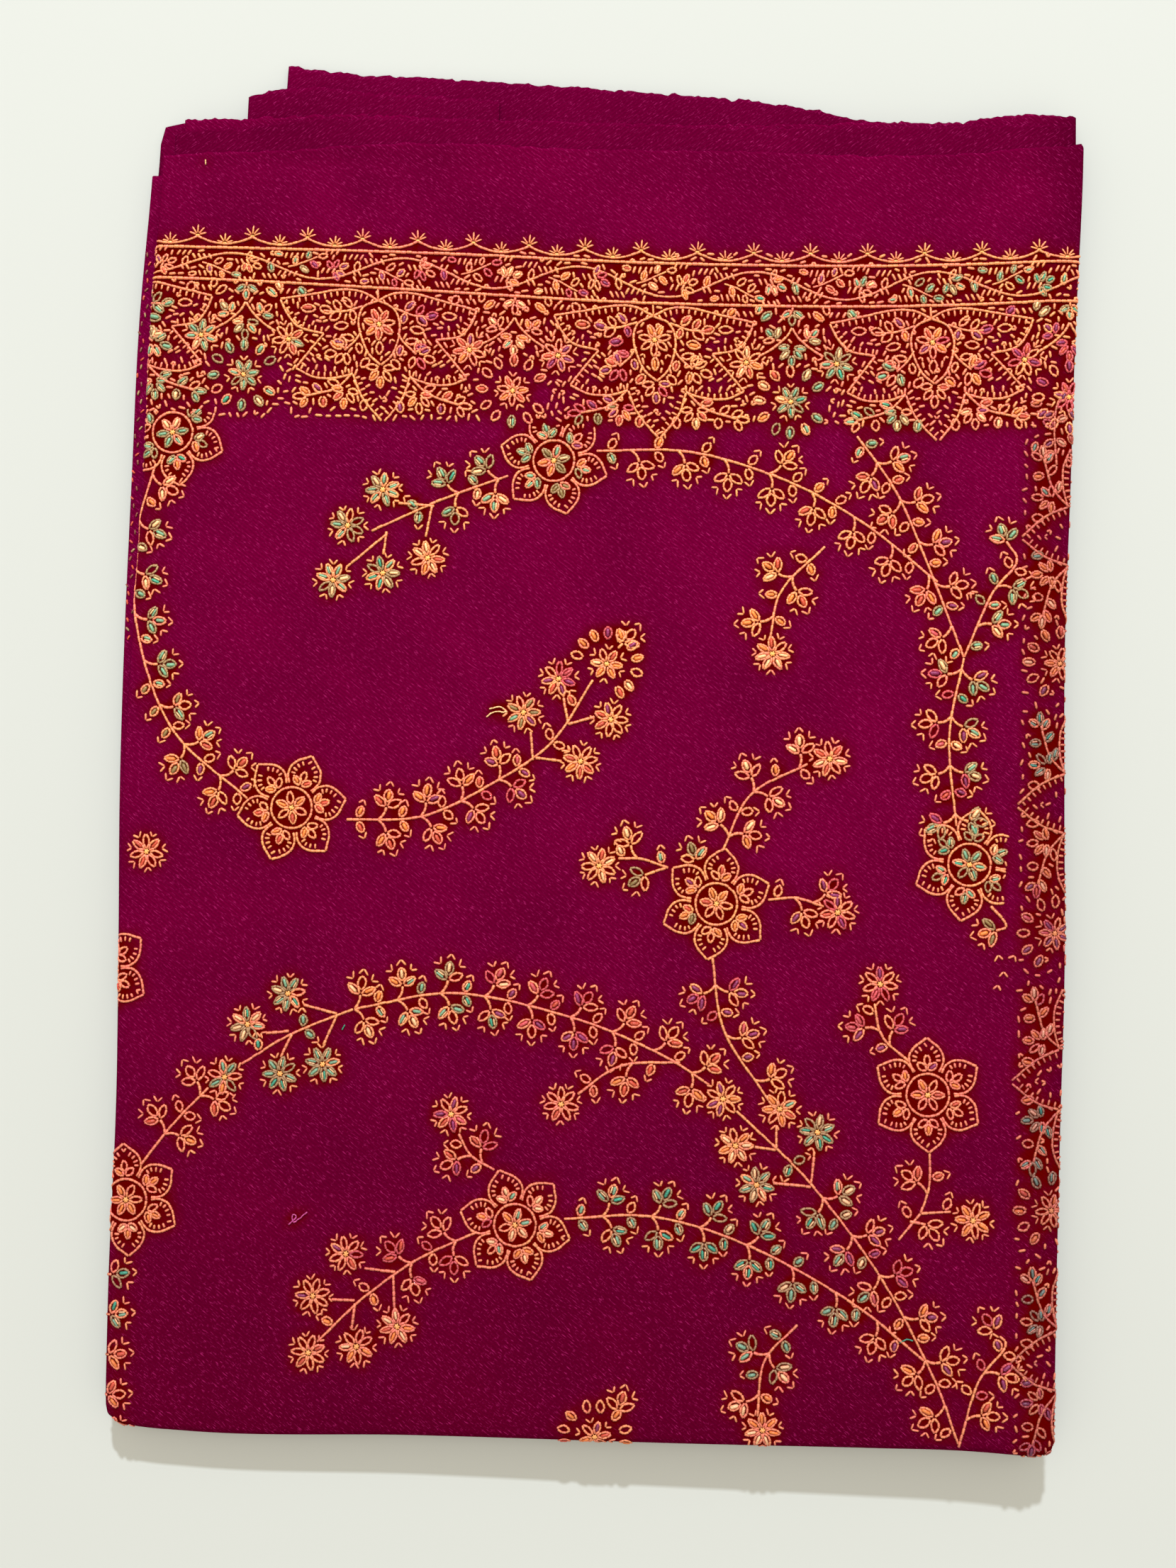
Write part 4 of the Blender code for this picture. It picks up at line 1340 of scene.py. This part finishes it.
LOWER_VINES = (
    (((-166, 97), (-154, 113), (-141, 127)), ".BPB", 0.54),
    (((-129, 136), (-110, 148), (-87, 158)), "l.P..", 0.85),
    (((-87, 158), (-48, 165), (-4, 157), (28, 145), (47, 134)), "BPBPBPBPBPBPBPLlB", 0.05),
    (((36, 142), (14, 140), (-2, 129)), ".lL.P", 0.15),
    (((47, 181), (52, 154), (69, 129)), ".BPLlL", 0.05),
    (((57, 125), (85, 99), (111, 66), (130, 32), (140, 7)), "...P.BPBPBPXlBPRr", 0.2),
    (((-6, 83), (27, 85), (62, 76), (100, 57), (127, 37)), "PBPBPBPBPYrRrRr.", 0.6),
    (((140, 6), (146, 29), (156, 43), (154, 47)), ".RPYP", 0.15),
    (((81, 48), (69, 34), (67, 14)), "PBrY.", 0.95),
    (((120, 145), (110, 154), (107, 166)), ".YLl", 0.4),
    (((125, 90), (128, 100), (128, 112)), ".Lr.", 0.3),
    (((125, 90), (136, 91)), ".l", 0.5),
    (((125, 90), (117, 80)), "..", 0.5),
    (((-38, 77), (-60, 66), (-80, 51), (-97, 34)), "BPB.P.r.", 0.95),
    (((-32, 100), (-41, 105), (-46, 113)), "YLl.", 1.05),
)
for points, pattern, first in LOWER_VINES:
    lower_pen.vine(points, pattern, first)
LOWER_STALKS = (
    ((-110, 148), (-114, 139)),
    ((-111, 149), (-120, 148)),
    ((-93, 156), (-106, 159)),
    ((-93, 156), (-98, 144)),
    ((72, 120), (72, 111)),
    ((64, 112), (72, 111)),
    ((71, 99), (85, 98)),
    ((85, 99), (86, 111)),
    ((-68, 61), (-80, 62)),
    ((-69, 60), (-68, 46)),
    ((-83, 50), (-92, 50)),
    ((-83, 49), (-84, 39)),
    ((121, 87), (127, 86)),
)
for stalk in LOWER_STALKS:
    lower_pen.stalk(*stalk)
LOWER_FLOWERS = (
    (-135, 131), (-114, 133), (-127, 151), (-112, 163), (-98, 137), (52, 129), (-8, 125), (73, 126), (57, 112),
    (65, 98), (87, 118), (109, 173), (144, 88), (-100, 30), (-87, 67), (-67, 41), (-99, 51), (-82, 33),
    (-49, 120), (69, 9), (-168, 215),
)
for x, v in LOWER_FLOWERS:
    lower_pen.flower(x, v, rng.uniform(0.0, 1.0))
lower_pen.rosette(7.5, 3.5, 0.3, 6, 12)
for x, v, degrees in ((16, 14, 75), (127, 86, -50), (152, 49, 125)):
    lower_pen.bud(x, v, math.radians(degrees))
lower_pen.side_leaf(121.5, 87.5, math.radians(50), 1)
for v in (56.0, 41.0, 26.0, 11.0, -3.0):
    lower_pen.stalk((-182.0, v - 3.0), (-178.5, v - 0.6), (-175.6, v))
    lower_pen.bud(-175.6, v, math.radians(8.0))


# Loose thread ends left on the cloth, and the darker needlework of the folded edge below
for path, thread in (
    (((-109, 77), (-106, 80), (-107.5, 81), (-107, 78), (-102, 82)), "pink"),
    (((-32, 271), (-37, 271), (-40, 269)), "cream"),
    (((-32, 271), (-35, 273), (-39, 272)), "cream"),
    (((-155, 483), (-155, 481)), "cream"),
    (((-91, 150), (-90, 152)), "teal"),
    (((118, 43), (120.5, 44.5), (123, 44)), "teal"),
):
    upper_pen.line(curve(path, 0.4), 0.55, thread, 1.3, 0.25)
edge_pen = Pen("embroidered_folded_edge")
for v in np.arange(296.0, 447.0, 3.4):
    x = float(outer_left(v)) + rng.uniform(0.9, 3.0)
    tilt = rng.uniform(-0.9, 0.9)
    far = polar(x, v, 0.5 * math.pi + tilt, 2.2)
    edge_pen.straight((x, v), far, 0.8, rng.choice(("umber", "umber", "moss", "rust")))


# All stitches as meshes, laid over the folds with the cloth
def on_panel(points):
    """Which stitches lie on the face or round its folds, none of them past its turned edges."""
    ends = np.clip(points.mean(axis=1)[:, 1], 0.0, PILE_LENGTH)
    first = panel_left(ends) + SIDE_FOLD - 0.80 * side_wrap
    last = panel_right(ends) - SIDE_FOLD + 0.80 * side_wrap
    low = bottom_edge(points.mean(axis=1)[:, 0]) + BOTTOM_FOLD - 0.62 * bottom_wrap
    inside = (points[:, :, 0].min(axis=1) > first) & (points[:, :, 0].max(axis=1) < last)
    return inside & (points[:, :, 1].min(axis=1) > low)


def sew(name, rows):
    """One mesh from a pen's stitches: each has two tips and two diamond-shaped rings."""
    points = np.concatenate([row[0] for row in rows])
    widths = np.concatenate([row[1] for row in rows])
    lifts = np.concatenate([row[2] for row in rows])
    colours = np.concatenate([row[3] for row in rows])
    lay = drape_left_fold if name == "embroidered_folded_edge" else drape
    if lay is drape:
        inside = on_panel(points)
        points, widths, lifts, colours = points[inside], widths[inside], lifts[inside], colours[inside]
    count = len(points)
    way = points[:, 2] - points[:, 1]
    way = way / np.maximum(np.hypot(way[:, 0], way[:, 1]), 1e-6)[:, None]
    across = np.column_stack([-way[:, 1], way[:, 0]])
    profile = ((0.5, 0.24), (0.0, 0.52), (-0.5, 0.24), (0.0, -0.04))
    flat = []
    heights = []
    for k in (0, 1, 2, 3):
        if k in (0, 3):
            flat.append(points[:, k])
            heights.append(lifts + 0.02)
            continue
        for side, rise in profile:
            flat.append(points[:, k] + across * (side * widths)[:, None])
            heights.append(lifts + rise * widths)
    flat = np.stack(flat, axis=1)
    heights = np.stack(heights, axis=1)
    placed = lay(flat[:, :, 0], flat[:, :, 1], heights)
    base = 10 * np.arange(count)[:, None, None]
    ends_faces = [(0, 1 + k, 1 + (k + 1) % 4) for k in range(4)]
    ends_faces += [(9, 5 + (k + 1) % 4, 5 + k) for k in range(4)]
    body_faces = [(1 + k, 5 + k, 5 + (k + 1) % 4, 1 + (k + 1) % 4) for k in range(4)]
    tris = (base + np.array(ends_faces)[None]).reshape(-1, 3)
    quads = (base + np.array(body_faces)[None]).reshape(-1, 4)
    piece = make_mesh(name, placed.reshape(-1, 3), [tris, quads])
    add_colours(piece, "thread", np.repeat(colours, 10, axis=0))
    length = np.hypot(*(points[:, 3] - points[:, 0]).T)
    strand = np.zeros((count, 10, 3))
    strand[:, 1:5, 0] = 0.2
    strand[:, 5:9, 0] = 0.8
    strand[:, 9, 0] = 1.0
    strand[:, :, 0] *= length[:, None]
    strand[:, (1, 5), 1] = 0.5
    strand[:, (3, 7), 1] = -0.5
    strand[:, :, 2] = np.arange(count)[:, None] * 0.7
    add_vectors(piece, "strand", strand)
    return finish_piece(piece, thread_cloth)


sewn = {name: sew(name, rows) for name, rows in needlework.items()}

# Between close stitches the cloth gets painted shade, warm-tinted as if lit by light bounced off the thread
HALO_CELL = 1.5
HALO_LEFT = -200.0
HALO_LOW = -20.0
HALO_FULL = 2.1
stitched = np.concatenate([row[0].reshape(-1, 2) for rows in needlework.values() for row in rows])
halo_a = np.arange(HALO_LEFT, 201.0, HALO_CELL)
halo_b = np.arange(HALO_LOW, 501.0, HALO_CELL)
halo, _, _ = np.histogram2d(stitched[:, 0], stitched[:, 1], bins=(halo_a, halo_b))
for _ in range(2):
    halo = sum(np.roll(np.roll(halo, i, 0), j, 1) for i in (-1, 0, 1) for j in (-1, 0, 1)) / 9.0
halo = np.clip(halo / HALO_FULL, 0.0, 1.0)
cell_a = np.clip(((grid_a - HALO_LEFT) / HALO_CELL).astype(int), 0, halo.shape[0] - 1)
cell_b = np.clip(((grid_b - HALO_LOW) / HALO_CELL).astype(int), 0, halo.shape[1] - 1)
near = halo[cell_a, cell_b].ravel()
near = np.concatenate([near, near])
add_vectors(top_cloth, "painted_stitch_shade", np.column_stack([near, near, near]))

# Stage: a pale table, one large soft light from beyond the top of the pile and a weak fill
floor = make_mesh(
    "pale_table",
    np.array([(-3.0, -3.0, 0.0), (3.0, -3.0, 0.0), (3.0, 3.0, 0.0), (-3.0, 3.0, 0.0)]),
    [np.array([[0, 1, 2, 3]])],
)
table_nodes = Nodes("pale_table_top")
table_nodes.shader.inputs["Base Color"].default_value = rgba(linear(188, 191, 184))
table_nodes.shader.inputs["Roughness"].default_value = 0.9
table_nodes.shader.inputs["Specular IOR Level"].default_value = 0.1
floor.data.materials.append(table_nodes.material)


def area_light(name, place, aim, width, height, power, colour):
    light = bpy.data.lights.new(name, "AREA")
    light.shape = "RECTANGLE"
    light.size = width
    light.size_y = height
    light.energy = power
    light.color = colour
    lamp = bpy.data.objects.new(name, light)
    bpy.context.scene.collection.objects.link(lamp)
    lamp.location = place
    from_aim = np.array(place) - np.array(aim)
    lamp.rotation_euler = (
        math.atan2(math.hypot(from_aim[0], from_aim[1]), from_aim[2]),
        0.0,
        math.atan2(from_aim[0], -from_aim[1]),
    )
    return lamp


area_light("window", (0.06, 4.18, 2.45), (0.0, 0.0, 0.0), 0.26, 0.14, 318.0, (0.80, 0.86, 0.97))
area_light("fill", (0.0, 0.35, 1.7), (0.0, 0.0, 0.0), 1.8, 1.2, 6.4, (1.0, 0.96, 0.90))
world = bpy.data.worlds.new("soft_room")
world.use_nodes = True
world.node_tree.nodes["Background"].inputs["Color"].default_value = (1.0, 0.93, 0.84, 1.0)
world.node_tree.nodes["Background"].inputs["Strength"].default_value = 0.94
bpy.context.scene.world = world
bpy.context.scene.view_settings.view_transform = "Standard"

# Camera: close above the pile, a little to the right of its middle and tilted slightly
PHOTO_HEIGHT = 2212
FOCAL_LENGTH = 1884
SENSOR = 36.0
camera_data = bpy.data.cameras.new("photo_camera")
camera_data.sensor_width = SENSOR
camera_data.lens = FOCAL_LENGTH * SENSOR / PHOTO_HEIGHT
camera_data.clip_start = 0.01
camera = bpy.data.objects.new("photo_camera", camera_data)
camera.location = (0.01711, -0.03346, 0.51356)
camera.rotation_euler = (math.radians(1.979), math.radians(2.015), math.radians(1.423))
bpy.context.scene.collection.objects.link(camera)
bpy.context.scene.camera = camera
